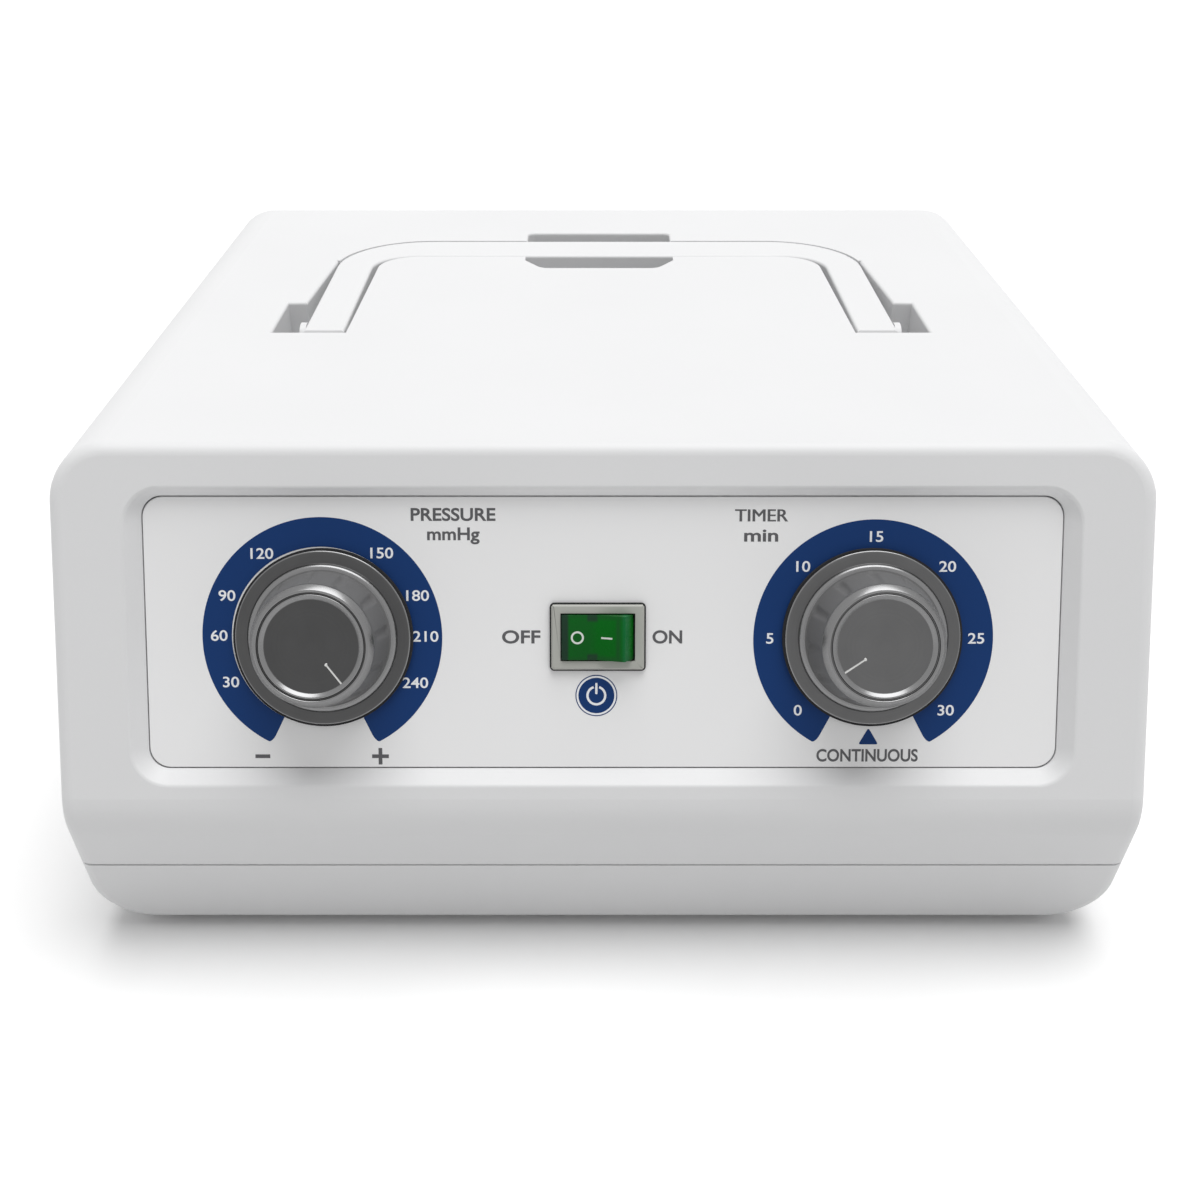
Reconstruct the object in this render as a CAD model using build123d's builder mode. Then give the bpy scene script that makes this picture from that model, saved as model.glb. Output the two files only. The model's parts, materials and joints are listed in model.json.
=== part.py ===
from build123d import *

import os
from math import cos, radians, sin, tan

os.makedirs("parts", exist_ok=True)

# A table-top compression therapy pump: a two-shell plastic housing with a fold-flat carry handle, a leaning
# control face with a pressure dial, a rocker switch and a timer dial, six-way air outlets at the back, and
# inside it a twin-head diaphragm pump that feeds a rotary distributor.
# +X is to the right of someone facing the controls, +Y runs from the controls to the back, +Z is up.
# The origin is on the table, under the middle of the whole outline. Sizes are in millimetres and degrees.

# ---------------------------------------------------------------- driving dimensions
# Housing
body_width = 240.0
body_height = 114.0
top_depth = 202.0
face_lean = 23.0
face_drop = 76.0
chamfer_lean = 16.7
seam_rise = 22.2
wall = 2.6
top_side_radius = 12.5
bottom_side_radius = 14.0
face_edge_radius = 3.4
face_break_radius = 14.0
back_edge_radius = 6.0
seam_groove_height = 0.6
seam_groove_depth = 0.8
seam_lip_height = 3.0
seam_fit = 0.15
foot_stand = 2.5

# Control face: distances down the face are measured from its sharp top edge
panel_width = 200.0
panel_height = 59.8
panel_top = 11.1
panel_corner = 4.5
panel_sink = 2.6
panel_thickness = 2.4
panel_ledge = 4.0
panel_gap = 0.2
overlay_thickness = 0.3
overlay_inset = 0.15
recess_lip_side = 3.5
recess_lip_top = 1.9
recess_lip_bottom = 3.6
recess_lip_round = 1.0
controls_shift = -1.1
dial_spacing = 119.8
dial_drop = 41.8
switch_drop = 41.7

# Dial knobs
skirt_radius = 19.6
skirt_edge = 1.4
shoulder_radius = 15.6
shoulder_height = 3.4
grip_base_radius = 14.7
grip_top_radius = 13.3
rim_radius = 12.8
knob_height = 15.8
knob_lift = 0.6
rim_round = 0.7
rim_drop = 2.4
skirt_round = 0.5
shoulder_bead = 0.9
cap_radius = 11.2
cap_thickness = 1.6
cap_sink = 0.5
cap_gap = 0.1
cap_bevel = 0.6
flute_count = 11
flute_radius = 9.0
flute_depth = 1.2
pointer_width = 0.7
pointer_depth = 0.25
pointer_inner = 4.6
pressure_pointer = 142.0
timer_pointer = 124.0
spindle_radius = 3.0
spindle_flat = 2.2
spindle_bore_depth = 9.5
spindle_tail = 10.0
regulator_port_x = 7.0
timer_tab_x = 8.0
running_gap = 0.05
bush_radius = 4.6
bush_stand = 2.4
nut_radius = 6.6
nut_thickness = 2.0
regulator_radius = 15.0
regulator_length = 26.0
timer_case_size = 40.0
timer_case_length = 24.0
timer_case_corner = 3.0

# Rocker switch
bezel_width = 21.0
bezel_height = 15.0
bezel_thickness = 1.5
rocker_opening_width = 16.3
rocker_opening_height = 10.5
rocker_gap = 0.3
rocker_pivot_depth = 2.5
rocker_rise = 0.6
rocker_throw = 22.0
rocker_depth = 6.5
rocker_well_depth = 9.5
rocker_stub_radius = 1.2
rocker_stub_length = 0.9
switch_tab_pitch = 7.0
switch_body_width = 19.0
switch_body_height = 13.0
switch_body_length = 16.0
tab_width = 4.8
tab_thickness = 0.8
tab_length = 8.0

# Carry handle: distances back along the top are measured from its sharp front edge
arm_inner = 66.5
arm_outer = 77.0
handle_front = 73.4
bar_front = 143.0
bar_rear = 159.0
handle_inner_corner = 12.0
handle_outer_corner = 26.0
handle_thickness = 10.0
handle_edge_round = 0.8
handle_gap = 0.4
handle_inner_gap = 0.8
handle_gap_growth = 1.2
well_rim_round = 0.8
handle_seat_gap = 0.3
hub_radius = 8.0
pivot_depth = 4.5
pivot_radius = 2.5
pivot_head_radius = 4.2
pivot_head_thickness = 1.6
pivot_head_gap = 0.2
grip_hollow_end = 6.0
grip_hollow_wall = 3.0
grip_hollow_depth = 4.0
pivot_anchor = 8.0
pivot_anchor_radius = 4.3
pocket_outer = 85.0
pocket_rear = 98.0
pocket_depth = 14.0
arm_groove_width = 3.0
arm_groove_rear = 138.0
scoop_half_width = 22.0
scoop_front_half_width = 17.0
scoop_front = 130.4
scoop_rear = 168.4
scoop_depth = 24.0
scoop_corner = 4.0

# Rear recess and what is in it
rear_width = 190.0
rear_height = 60.0
rear_rise = 64.0
rear_recess = 14.0
rear_corner = 5.0
rear_panel_thickness = 3.0
rear_panel_gap = 0.2
rear_ledge = 6.5
rear_screw_inset = 3.5
small_screw_radius = 1.25
small_head_radius = 2.4
small_head_height = 1.6
screw_slot_width = 0.7
screw_slot_length = 3.84
inlet_x = -66.0
inlet_width = 50.0
inlet_height = 40.0
inlet_flange = 2.5
inlet_body_width = 29.0
inlet_body_height = 36.0
inlet_body_length = 20.0
inlet_socket_width = 24.4
inlet_socket_height = 17.0
inlet_socket_depth = 15.5
inlet_socket_bevel = 4.0
inlet_socket_rise = 7.5
inlet_pin_pitch = 7.0
inlet_pin_drop = 2.0
inlet_pin_width = 2.0
inlet_pin_height = 4.0
inlet_pin_setback = 3.0
inlet_screw_spacing = 40.0
inlet_corner = 3.0
inlet_screw_tail = 3.0
drawer_rise = -12.0
drawer_width = 22.0
drawer_height = 7.8
drawer_length = 16.0
drawer_gap = 0.3
drawer_lip = 1.2
drawer_floor = 1.2
fuse_bay_start = 2.0
fuse_gap = 0.1
fuse_radius = 2.6
fuse_length = 20.0
filter_x = -22.0
filter_size = 32.0
filter_stand = 3.0
filter_corner = 3.0
filter_gap = 0.3
filter_opening = 26.0
filter_box_depth = 14.0
filter_box_wall = 2.0
cover_gap = 0.1
filter_foam_thickness = 6.0
louvre_count = 5
louvre_height = 2.4
louvre_pitch = 4.6
socket_xs = (22.0, 68.0)
socket_width = 44.0
socket_height = 34.0
socket_flange = 2.5
socket_body_length = 8.0
outlet_pitch = 13.0
outlet_radius = 3.0
outlet_bore = 1.7
outlet_length = 10.5
outlet_tip = 0.6
socket_shelf = 2.0
socket_corner = 3.0

# Bosses, screws and feet
boss_radius = 4.5
boss_x = 100.0
boss_front_y = -66.0
boss_rear_y = 76.0
screw_radius = 1.75
screw_head_radius = 3.4
screw_head_height = 2.4
screw_sink = 6.0
screw_grip = 12.0
screw_drive = 1.6
foot_radius = 9.0
foot_recess = 1.2
foot_side_inset = 34.0
foot_front_y = -78.0
foot_rear_y = 96.0
foot_screw_radius = 2.2
vent_slot_length = 34.0
vent_slot_width = 3.0
vent_slot_pitch = 8.0
vent_slot_count = 7

# Twin-head diaphragm pump
pump_side_gap = 6.4
pump_y = 26.0
pump_rise = 15.0
pump_width = 96.0
pump_depth = 62.0
pump_plate = 3.0
pump_bracket = 4.0
pump_shaft_rise = 24.0
head_size = 46.0
head_length = 15.0
cross_port_z = 30.0
diaphragm_radius = 21.0
diaphragm_thickness = 2.0
piston_radius = 12.0
piston_gap = 0.4
armature_stroke = 1.5
armature_height = 12.0
armature_thickness = 5.0
magnet_length = 16.0
magnet_thickness = 5.0
core_length = 44.0
core_height = 36.0
core_air_gap = 1.5
coil_length = 20.0
coil_growth = 4.0
mount_radius = 6.0
mount_stud_radius = 2.0
mount_waist = 1.5
mount_inset = 8.0
post_height = 3.0
head_clearance = 3.0
piston_thickness = 3.0
core_leg = 12.0
core_leg_width = 12.0
core_back = 8.0
pedestal_width = 8.0
pedestal_inset = 5.0

# Rotary distributor
valve_side_gap = 3.0
valve_y = 24.0
valve_radius = 34.0
valve_body_height = 12.0
valve_cover = 4.0
rotor_radius = 26.0
rotor_thickness = 4.0
rotor_gap = 0.3
rotor_port_radius = 3.0
port_circle = 22.0
nipple_radius = 2.0
nipple_length = 6.0
motor_radius = 25.0
motor_height = 16.0
motor_shaft_radius = 3.0
motor_stand = 4.0
motor_shaft_depth = 8.0

# Air tubing
tube_radius = 3.2
tube_bend = 9.0
rear_tube_run = 16.0
front_tube_y = -28.0
front_tube_spacing = 10.0
manifold_depth = 12.0
manifold_height = 34.0
manifold_width = 88.0
tube_row_pitch = 14.0

# Control board
board_width = 110.0
board_depth = 46.0
board_thickness = 1.6
board_y = -62.0
board_rise = 8.0
board_hole_inset = 5.0
standoff_radius = 3.2
transformer_x = -14.0
transformer_size = 30.0
transformer_depth = 22.0
transformer_height = 25.0
winding_lift = 5.0
winding_width = 18.0
winding_growth = 4.0
winding_corner = 2.0
capacitor_x = -42.0
capacitor_pitch = 18.0
capacitor_radius = 7.0
capacitor_height = 18.0
capacitor_round = 1.0
relay_x = 18.0
relay_width = 16.0
relay_depth = 20.0
relay_height = 15.0
terminal_x = 42.0
terminal_depth = 9.0
terminal_length = 30.0
terminal_height = 10.0
terminal_pitch = 5.0
terminal_count = 6
terminal_screw_radius = 1.5

# ---------------------------------------------------------------- shared places
shell_bottom = foot_stand
shell_top = shell_bottom + body_height
seam_z = shell_bottom + seam_rise
break_z = shell_top - face_drop
face_overhang = face_drop * tan(radians(face_lean))
chamfer_return = (break_z - shell_bottom) * tan(radians(chamfer_lean))

# The lower edge of the dial caps and the break under the control face reach about equally far forward
cap_reach = (dial_drop + rim_radius - rim_round) * sin(radians(face_lean)) + (
    knob_height - panel_sink
) * cos(radians(face_lean))
reach = max(face_overhang, cap_reach)
back_y = (top_depth + reach) / 2
edge_y = back_y - top_depth
break_y = edge_y - face_overhang
sole_y = break_y + chamfer_return

face_normal = Vector(0, -cos(radians(face_lean)), sin(radians(face_lean)))
face_down = Vector(0, -sin(radians(face_lean)), -cos(radians(face_lean)))
face_corner = Vector(0, edge_y, shell_top)
panel_middle = panel_top + panel_height / 2
panel_front = panel_sink + overlay_thickness
panel_back = panel_front + panel_thickness
dial_xs = (controls_shift - dial_spacing / 2, controls_shift + dial_spacing / 2)
foot_x = body_width / 2 - foot_side_inset
head_reach = pump_width / 2 + diaphragm_thickness + head_length
pump_x = head_reach + pump_side_gap + wall - body_width / 2
valve_x = pump_x + head_reach + valve_side_gap + valve_radius


def face_plane(x, drop, depth):
    """Plane parallel to the control face: x across, drop down the face, depth below its surface."""
    point = face_corner + face_down * drop - face_normal * depth + Vector(x, 0, 0)
    return Plane(origin=point, x_dir=(1, 0, 0), z_dir=face_normal)


def rear_plane(x, z, depth):
    """Plane that faces backwards, depth in front of the back wall's surface."""
    return Plane(origin=(x, back_y - depth, z), x_dir=(-1, 0, 0), z_dir=(0, 1, 0))


def shell_form(inset=0.0):
    """Closed outer form of the two shells together, every wall moved inwards by inset."""
    with BuildPart() as form:
        with BuildSketch(Plane.YZ):
            with BuildLine():
                Polyline(
                    (edge_y, shell_top),
                    (back_y, shell_top),
                    (back_y, shell_bottom),
                    (sole_y, shell_bottom),
                    (break_y, break_z),
                    close=True,
                )
            make_face()
            if inset > 0:
                offset(amount=-inset, kind=Kind.INTERSECTION)
        extrude(amount=body_width / 2 - inset, both=True)
        fillet(form.edges().filter_by(Axis.Y).group_by(Axis.Z)[-1], top_side_radius - inset)
        fillet(form.edges().filter_by(Axis.Y).group_by(Axis.Z)[0], bottom_side_radius - inset)
        fillet(form.edges().filter_by(Axis.X).group_by(Axis.Z)[1], face_break_radius - inset)
        if inset == 0:
            rims = form.edges().filter_by(Axis.X).group_by(Axis.Z)[-1].sort_by(Axis.Y)
            fillet(rims[0], face_edge_radius)
            rims = form.edges().filter_by(Axis.X).group_by(Axis.Z)[-1].sort_by(Axis.Y)
            fillet(rims[-1], back_edge_radius)
    return form.part


def handle_plan(outer=0.0, inner=0.0, taper=0.0):
    """U-shaped plan of the folded handle.

    Its outer side is moved outwards by outer and its inner side inwards by inner, and taper narrows the ground
    between the arms towards the grip bar.
    """
    front = edge_y + handle_front - outer
    inner_rear = edge_y + bar_front - inner
    rear = edge_y + bar_rear + outer
    inner_x = arm_inner - inner
    with BuildSketch(mode=Mode.PRIVATE) as plan:
        with Locations((0, (front + rear) / 2)):
            Rectangle(2 * (arm_outer + outer), rear - front)
        fillet(plan.vertices().group_by(Axis.Y)[-1], handle_outer_corner + outer)
        with BuildLine():
            Polyline(
                (inner_x, front),
                (inner_x - taper, inner_rear),
                (taper - inner_x, inner_rear),
                (-inner_x, front),
                close=True,
            )
        make_face(mode=Mode.SUBTRACT)
        corners = plan.vertices().filter_by(lambda v: abs(v.Y - inner_rear) < 0.01)
        fillet(corners, handle_inner_corner - inner)
    return plan.sketch


outer_form = shell_form()
inner_form = shell_form(wall)

channel_depth = handle_thickness + handle_seat_gap
pivot_y = edge_y + handle_front + hub_radius
pivot_z = shell_top - pivot_depth
pocket_front_y = edge_y + handle_front - handle_gap
pocket_rear_y = edge_y + pocket_rear
scoop_front_y = edge_y + scoop_front
scoop_rear_y = edge_y + scoop_rear
rear_z = rear_rise
rear_inner = rear_recess + rear_panel_thickness
rear_screws = (rear_width - 2 * rear_screw_inset, rear_height - 2 * rear_screw_inset)


def pocket_plan(side, grow, depth):
    """Plan of the pocket beside one handle arm, from the arm's inner side outwards."""
    low_x = arm_inner - handle_inner_gap - grow
    high_x = pocket_outer + grow
    with BuildSketch(Plane.XY.offset(shell_top - depth)) as plan:
        with Locations((side * (low_x + high_x) / 2, (pocket_front_y + pocket_rear_y) / 2)):
            Rectangle(high_x - low_x, pocket_rear_y - pocket_front_y + 2 * grow)
    return plan.sketch


def scoop_plan(grow, depth):
    """Plan of the finger scoop under the grip bar, narrower towards the controls."""
    with BuildSketch(Plane.XY.offset(shell_top - depth)) as plan:
        with BuildLine():
            Polyline(
                (-scoop_front_half_width - grow, scoop_front_y - grow),
                (scoop_front_half_width + grow, scoop_front_y - grow),
                (scoop_half_width + grow, scoop_front_y + scoop_corner * 2),
                (scoop_half_width + grow, scoop_rear_y + grow),
                (-scoop_half_width - grow, scoop_rear_y + grow),
                (-scoop_half_width - grow, scoop_front_y + scoop_corner * 2),
                close=True,
            )
        make_face()
        fillet(plan.vertices().group_by(Axis.Y)[0], scoop_corner)
        fillet(plan.vertices().group_by(Axis.Y)[-1], scoop_corner / 2)
    return plan.sketch


def wall_ring(outer_inset, inner_inset, low, high):
    """Band of the housing wall between two insets, from low to high; a negative inset is a plain block."""
    with BuildPart() as ring:
        if outer_inset < 0:
            with BuildSketch(Plane.XY.offset(low)):
                Rectangle(2 * body_width, 2 * body_width)
            extrude(amount=high - low)
        else:
            add(shell_form(outer_inset))
            split(bisect_by=Plane.XY.offset(low), keep=Keep.TOP)
            split(bisect_by=Plane.XY.offset(high), keep=Keep.BOTTOM)
        add(shell_form(inner_inset), mode=Mode.SUBTRACT)
    return ring.part


def save(piece, name):
    """Labels one finished piece and writes it to its own file."""
    piece.part.label = name
    export_step(piece.part, "parts/" + name + ".step")


def on_well_rim(edge):
    """True for the edges where the pockets' and the scoop's walls meet the top behind or outside the handle."""
    at_pocket = abs(edge.center().X) > arm_outer + arm_groove_width / 2 and edge.center().Y > pocket_front_y + 1
    at_scoop = abs(edge.center().X) < scoop_half_width + 0.1 and edge.center().Y > edge_y + bar_rear + handle_gap
    on_top = abs(edge.center().Z - shell_top) < 0.01 and edge.center().Y < scoop_rear_y + 0.1
    in_width = abs(edge.center().X) < pocket_outer + 0.1
    return on_top and in_width and (at_pocket or at_scoop)


def on_recess_rim(edge):
    """True for the edges where the control recess's sloping lip meets the face."""
    from_corner = edge.center() - face_corner
    in_height = panel_top / 2 < from_corner.dot(face_down) < panel_top + panel_height + recess_lip_bottom + 1
    in_width = abs(from_corner.X) < panel_width / 2 + recess_lip_side + 0.1
    return in_height and in_width and abs(from_corner.dot(face_normal)) < 0.01


# ---------------------------------------------------------------- upper housing
with BuildPart() as upper_housing:
    add(outer_form)
    add(inner_form, mode=Mode.SUBTRACT)
    # walls of the handle well, its pockets and the finger scoop
    with BuildSketch(Plane.XY.offset(shell_top - channel_depth - wall)):
        add(handle_plan(handle_gap + wall, handle_inner_gap + wall, handle_gap_growth))
    extrude(amount=channel_depth)
    for side in (-1, 1):
        extrude(pocket_plan(side, wall, pocket_depth + wall), amount=pocket_depth)
    extrude(scoop_plan(wall, scoop_depth + wall), amount=scoop_depth)
    # frame behind the control face
    with BuildSketch(face_plane(0, panel_middle, 1)):
        RectangleRounded(
            panel_width + 2 * (panel_gap + wall),
            panel_height + 2 * (panel_gap + wall),
            panel_corner + wall,
        )
    extrude(amount=-(panel_back + wall))
    # walls of the rear recess
    with BuildSketch(rear_plane(0, rear_z, 1)):
        RectangleRounded(rear_width + 2 * wall, rear_height + 2 * wall, rear_corner + wall)
    extrude(amount=-(rear_inner + wall))
    # screw bosses down to the seam
    with BuildSketch(Plane.XY.offset(seam_z)):
        for boss_y in (boss_front_y, boss_rear_y):
            with Locations((-boss_x, boss_y), (boss_x, boss_y)):
                Circle(boss_radius)
    extrude(amount=shell_top - wall / 2 - seam_z)
    # anchor blocks for the handle pins, under the top between the arms
    for side in (-1, 1):
        with BuildSketch(Plane.XY.offset(pivot_z - pivot_anchor_radius)):
            with Locations((side * (arm_inner - handle_inner_gap - pivot_anchor / 2), pivot_y)):
                Rectangle(pivot_anchor, 2 * pivot_anchor_radius)
        extrude(amount=shell_top - wall / 2 - pivot_z + pivot_anchor_radius)
    # handle well, pockets, taper groove beside each arm and finger scoop
    with BuildSketch(Plane.XY.offset(shell_top - channel_depth)):
        add(handle_plan(handle_gap, handle_inner_gap, handle_gap_growth))
    extrude(amount=channel_depth + 1, mode=Mode.SUBTRACT)
    for side in (-1, 1):
        extrude(pocket_plan(side, 0, pocket_depth), amount=pocket_depth + 1, mode=Mode.SUBTRACT)
        with BuildSketch(Plane.XY.offset(shell_top - channel_depth)):
            with BuildLine():
                Polyline(
                    (side * arm_outer, pocket_rear_y - 1),
                    (side * (arm_outer + arm_groove_width), pocket_rear_y - 1),
                    (side * (arm_outer + handle_gap), edge_y + arm_groove_rear),
                    (side * arm_outer, edge_y + arm_groove_rear),
                    close=True,
                )
            make_face()
        extrude(amount=channel_depth + 1, mode=Mode.SUBTRACT)
    extrude(scoop_plan(0, scoop_depth), amount=scoop_depth + 1, mode=Mode.SUBTRACT)
    rims = upper_housing.edges().filter_by(on_well_rim)
    fillet(rims, well_rim_round)
    # control recess with its sloping lip, the panel's seat and the opening behind the panel
    with BuildSketch(face_plane(0, panel_middle + (recess_lip_bottom - recess_lip_top) / 2, 0)):
        RectangleRounded(
            panel_width + 2 * recess_lip_side,
            panel_height + recess_lip_top + recess_lip_bottom,
            panel_corner + recess_lip_side,
        )
    with BuildSketch(face_plane(0, panel_middle, panel_sink)):
        RectangleRounded(panel_width + 2 * panel_gap, panel_height + 2 * panel_gap, panel_corner)
    loft(ruled=True, mode=Mode.SUBTRACT)
    fillet(upper_housing.edges().filter_by(on_recess_rim), recess_lip_round)
    with BuildSketch(face_plane(0, panel_middle, panel_back)):
        RectangleRounded(panel_width + 2 * panel_gap, panel_height + 2 * panel_gap, panel_corner)
    extrude(amount=panel_back - panel_sink, mode=Mode.SUBTRACT)
    with BuildSketch(face_plane(0, panel_middle, panel_sink)):
        RectangleRounded(panel_width - 2 * panel_ledge, panel_height - 2 * panel_ledge, panel_corner)
    extrude(amount=-4 * wall, mode=Mode.SUBTRACT)
    # rear recess, its ledge and the opening behind the rear panel
    with BuildSketch(rear_plane(0, rear_z, rear_inner)):
        RectangleRounded(rear_width, rear_height, rear_corner)
    extrude(amount=rear_inner + 1, mode=Mode.SUBTRACT)
    with BuildSketch(rear_plane(0, rear_z, rear_inner)):
        RectangleRounded(rear_width - 2 * rear_ledge, rear_height - 2 * rear_ledge, rear_corner)
    extrude(amount=-2 * wall, mode=Mode.SUBTRACT)
    # pivot bores through each arm's inner well wall, for the handle pins
    for side in (-1, 1):
        with BuildSketch(Plane.YZ.offset(side * (arm_inner - handle_inner_gap - pivot_anchor + 1))):
            with Locations((pivot_y, pivot_z)):
                Circle(pivot_radius)
        extrude(amount=side * pivot_anchor, mode=Mode.SUBTRACT)
    # pilot holes for the housing screws
    with BuildSketch(Plane.XY.offset(seam_z)):
        for boss_y in (boss_front_y, boss_rear_y):
            with Locations((-boss_x, boss_y), (boss_x, boss_y)):
                Circle(screw_radius)
    extrude(amount=screw_grip + 1, mode=Mode.SUBTRACT)
    # holes for the rear panel's screws, in the ledge
    with BuildSketch(rear_plane(0, rear_z, rear_inner)):
        with GridLocations(*rear_screws, 2, 2):
            Circle(small_screw_radius)
    extrude(amount=-wall, mode=Mode.SUBTRACT)
    split(bisect_by=Plane.XY.offset(seam_z), keep=Keep.TOP)
    # rebate for the lower shell's lip
    add(wall_ring(wall / 2, wall + 1, seam_z - 1, seam_z + seam_lip_height + seam_fit), mode=Mode.SUBTRACT)
save(upper_housing, "upper_housing")

# ---------------------------------------------------------------- lower housing
mount_xs = pump_width / 2 - mount_inset
mount_ys = pump_depth / 2 - mount_inset
floor_z = shell_bottom + wall
plate_z = shell_bottom + pump_rise
post_top = floor_z + post_height
head_chamber = armature_stroke + head_clearance
motor_z = floor_z + motor_stand
board_z = floor_z + board_rise
board_holes = (board_width - 2 * board_hole_inset, board_depth - 2 * board_hole_inset)

with BuildPart() as lower_housing:
    add(outer_form)
    split(bisect_by=Plane.XY.offset(seam_z), keep=Keep.BOTTOM)
    add(wall_ring(wall / 2 + seam_fit, 2 * wall, seam_z - 2 * wall, seam_z + seam_lip_height))
    add(inner_form, mode=Mode.SUBTRACT)
    add(
        wall_ring(-1, seam_groove_depth, seam_z - seam_groove_height, seam_z + seam_groove_height),
        mode=Mode.SUBTRACT,
    )
    # screw bosses, pump posts, motor ring, board standoffs and foot pads
    with BuildSketch(Plane.XY.offset(floor_z - wall / 2)):
        for boss_y in (boss_front_y, boss_rear_y):
            with Locations((-boss_x, boss_y), (boss_x, boss_y)):
                Circle(boss_radius + 0.6)
    extrude(amount=seam_z - floor_z + wall / 2)
    with BuildSketch(Plane.XY.offset(floor_z - wall / 2)):
        with Locations((pump_x, pump_y)):
            with GridLocations(2 * mount_xs, 2 * mount_ys, 2, 2):
                Circle(mount_radius)
        for foot_y in (foot_front_y, foot_rear_y):
            with Locations((-foot_x, foot_y), (foot_x, foot_y)):
                Circle(foot_radius + wall)
    extrude(amount=wall / 2 + post_height)
    with BuildSketch(Plane.XY.offset(floor_z - wall / 2)):
        with Locations((valve_x, valve_y)):
            Circle(motor_radius)
            Circle(motor_radius - 2 * wall, mode=Mode.SUBTRACT)
    extrude(amount=motor_stand + wall / 2)
    with BuildSketch(Plane.XY.offset(floor_z - wall / 2)):
        with Locations((0, board_y)):
            with GridLocations(*board_holes, 2, 2):
                Circle(standoff_radius)
    extrude(amount=board_rise + wall / 2)
    # from beneath: screw holes, foot seats and cooling slots
    with BuildSketch(Plane.XY.offset(shell_bottom)):
        for boss_y in (boss_front_y, boss_rear_y):
            with Locations((-boss_x, boss_y), (boss_x, boss_y)):
                Circle(screw_head_radius + 0.3)
    extrude(amount=screw_sink, mode=Mode.SUBTRACT)
    with BuildSketch(Plane.XY.offset(shell_bottom)):
        for boss_y in (boss_front_y, boss_rear_y):
            with Locations((-boss_x, boss_y), (boss_x, boss_y)):
                Circle(screw_radius + 0.25)
    extrude(amount=seam_z, mode=Mode.SUBTRACT)
    with BuildSketch(Plane.XY.offset(shell_bottom)):
        for foot_y in (foot_front_y, foot_rear_y):
            with Locations((-foot_x, foot_y), (foot_x, foot_y)):
                Circle(foot_radius + 0.2)
    extrude(amount=foot_recess, mode=Mode.SUBTRACT)
    with BuildSketch(Plane.XY.offset(shell_bottom)):
        for vent_x, vent_y in ((pump_x, pump_y), (0, board_y)):
            with Locations((vent_x, vent_y)):
                with GridLocations(vent_slot_pitch, 1, vent_slot_count, 1):
                    SlotOverall(vent_slot_length, vent_slot_width, rotation=90)
    extrude(amount=2 * wall, mode=Mode.SUBTRACT)
    # blind holes for the screws of the board and the pump
    with BuildSketch(Plane.XY.offset(board_z)):
        with Locations((0, board_y)):
            with GridLocations(*board_holes, 2, 2):
                Circle(small_screw_radius)
    extrude(amount=-board_rise / 2, mode=Mode.SUBTRACT)
    with BuildSketch(Plane.XY.offset(floor_z + post_height)):
        with Locations((pump_x, pump_y)):
            with GridLocations(2 * mount_xs, 2 * mount_ys, 2, 2):
                Circle(mount_stud_radius)
    extrude(amount=-post_height, mode=Mode.SUBTRACT)
save(lower_housing, "lower_housing")

with BuildPart() as rubber_feet:
    with BuildSketch(Plane.XY.offset(shell_bottom + foot_recess)):
        for foot_y in (foot_front_y, foot_rear_y):
            with Locations((-foot_x, foot_y), (foot_x, foot_y)):
                Circle(foot_radius)
                Circle(foot_screw_radius, mode=Mode.SUBTRACT)
    extrude(amount=-(foot_recess + foot_stand))
    ground_edges = rubber_feet.edges().filter_by(GeomType.CIRCLE).group_by(Axis.Z)[0]
    fillet(ground_edges.filter_by(lambda edge: edge.radius > foot_screw_radius + 1), 1.0)
save(rubber_feet, "rubber_feet")

with BuildPart() as housing_screws:
    with BuildSketch(Plane.XY.offset(shell_bottom + screw_sink)):
        for boss_y in (boss_front_y, boss_rear_y):
            with Locations((-boss_x, boss_y), (boss_x, boss_y)):
                Circle(screw_radius)
    extrude(amount=seam_z + screw_grip - shell_bottom - screw_sink)
    with BuildSketch(Plane.XY.offset(shell_bottom + screw_sink)):
        for boss_y in (boss_front_y, boss_rear_y):
            with Locations((-boss_x, boss_y), (boss_x, boss_y)):
                Circle(screw_head_radius)
                RegularPolygon(screw_drive, 6, mode=Mode.SUBTRACT)
    extrude(amount=-screw_head_height)
save(housing_screws, "housing_screws")

# ---------------------------------------------------------------- carry handle
with BuildPart() as carry_handle:
    with BuildSketch(Plane.XY.offset(shell_top - handle_thickness)):
        add(handle_plan())
    extrude(amount=handle_thickness)
    rims = carry_handle.faces().sort_by(Axis.Z)[-1].edges()
    fillet(rims, handle_edge_round)
    # rounded hub ends about the pivot line
    with BuildSketch(Plane.YZ):
        with Locations((pivot_y, pivot_z)):
            Rectangle(2 * hub_radius, 4 * hub_radius, align=(Align.MAX, Align.CENTER))
            Circle(hub_radius, mode=Mode.SUBTRACT)
    extrude(amount=body_width / 2, both=True, mode=Mode.SUBTRACT)
    # bores for the handle pins
    with BuildSketch(Plane.YZ):
        with Locations((pivot_y, pivot_z)):
            Circle(pivot_radius + running_gap)
    extrude(amount=body_width / 2, both=True, mode=Mode.SUBTRACT)
    # finger grip hollowed along the underside of the bar
    with BuildSketch(Plane.XY.offset(shell_top - handle_thickness)):
        with Locations((0, edge_y + (bar_front + bar_rear) / 2)):
            SlotOverall(2 * (scoop_half_width + grip_hollow_end), bar_rear - bar_front - 2 * grip_hollow_wall)
    extrude(amount=grip_hollow_depth, mode=Mode.SUBTRACT)
save(carry_handle, "carry_handle")

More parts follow.
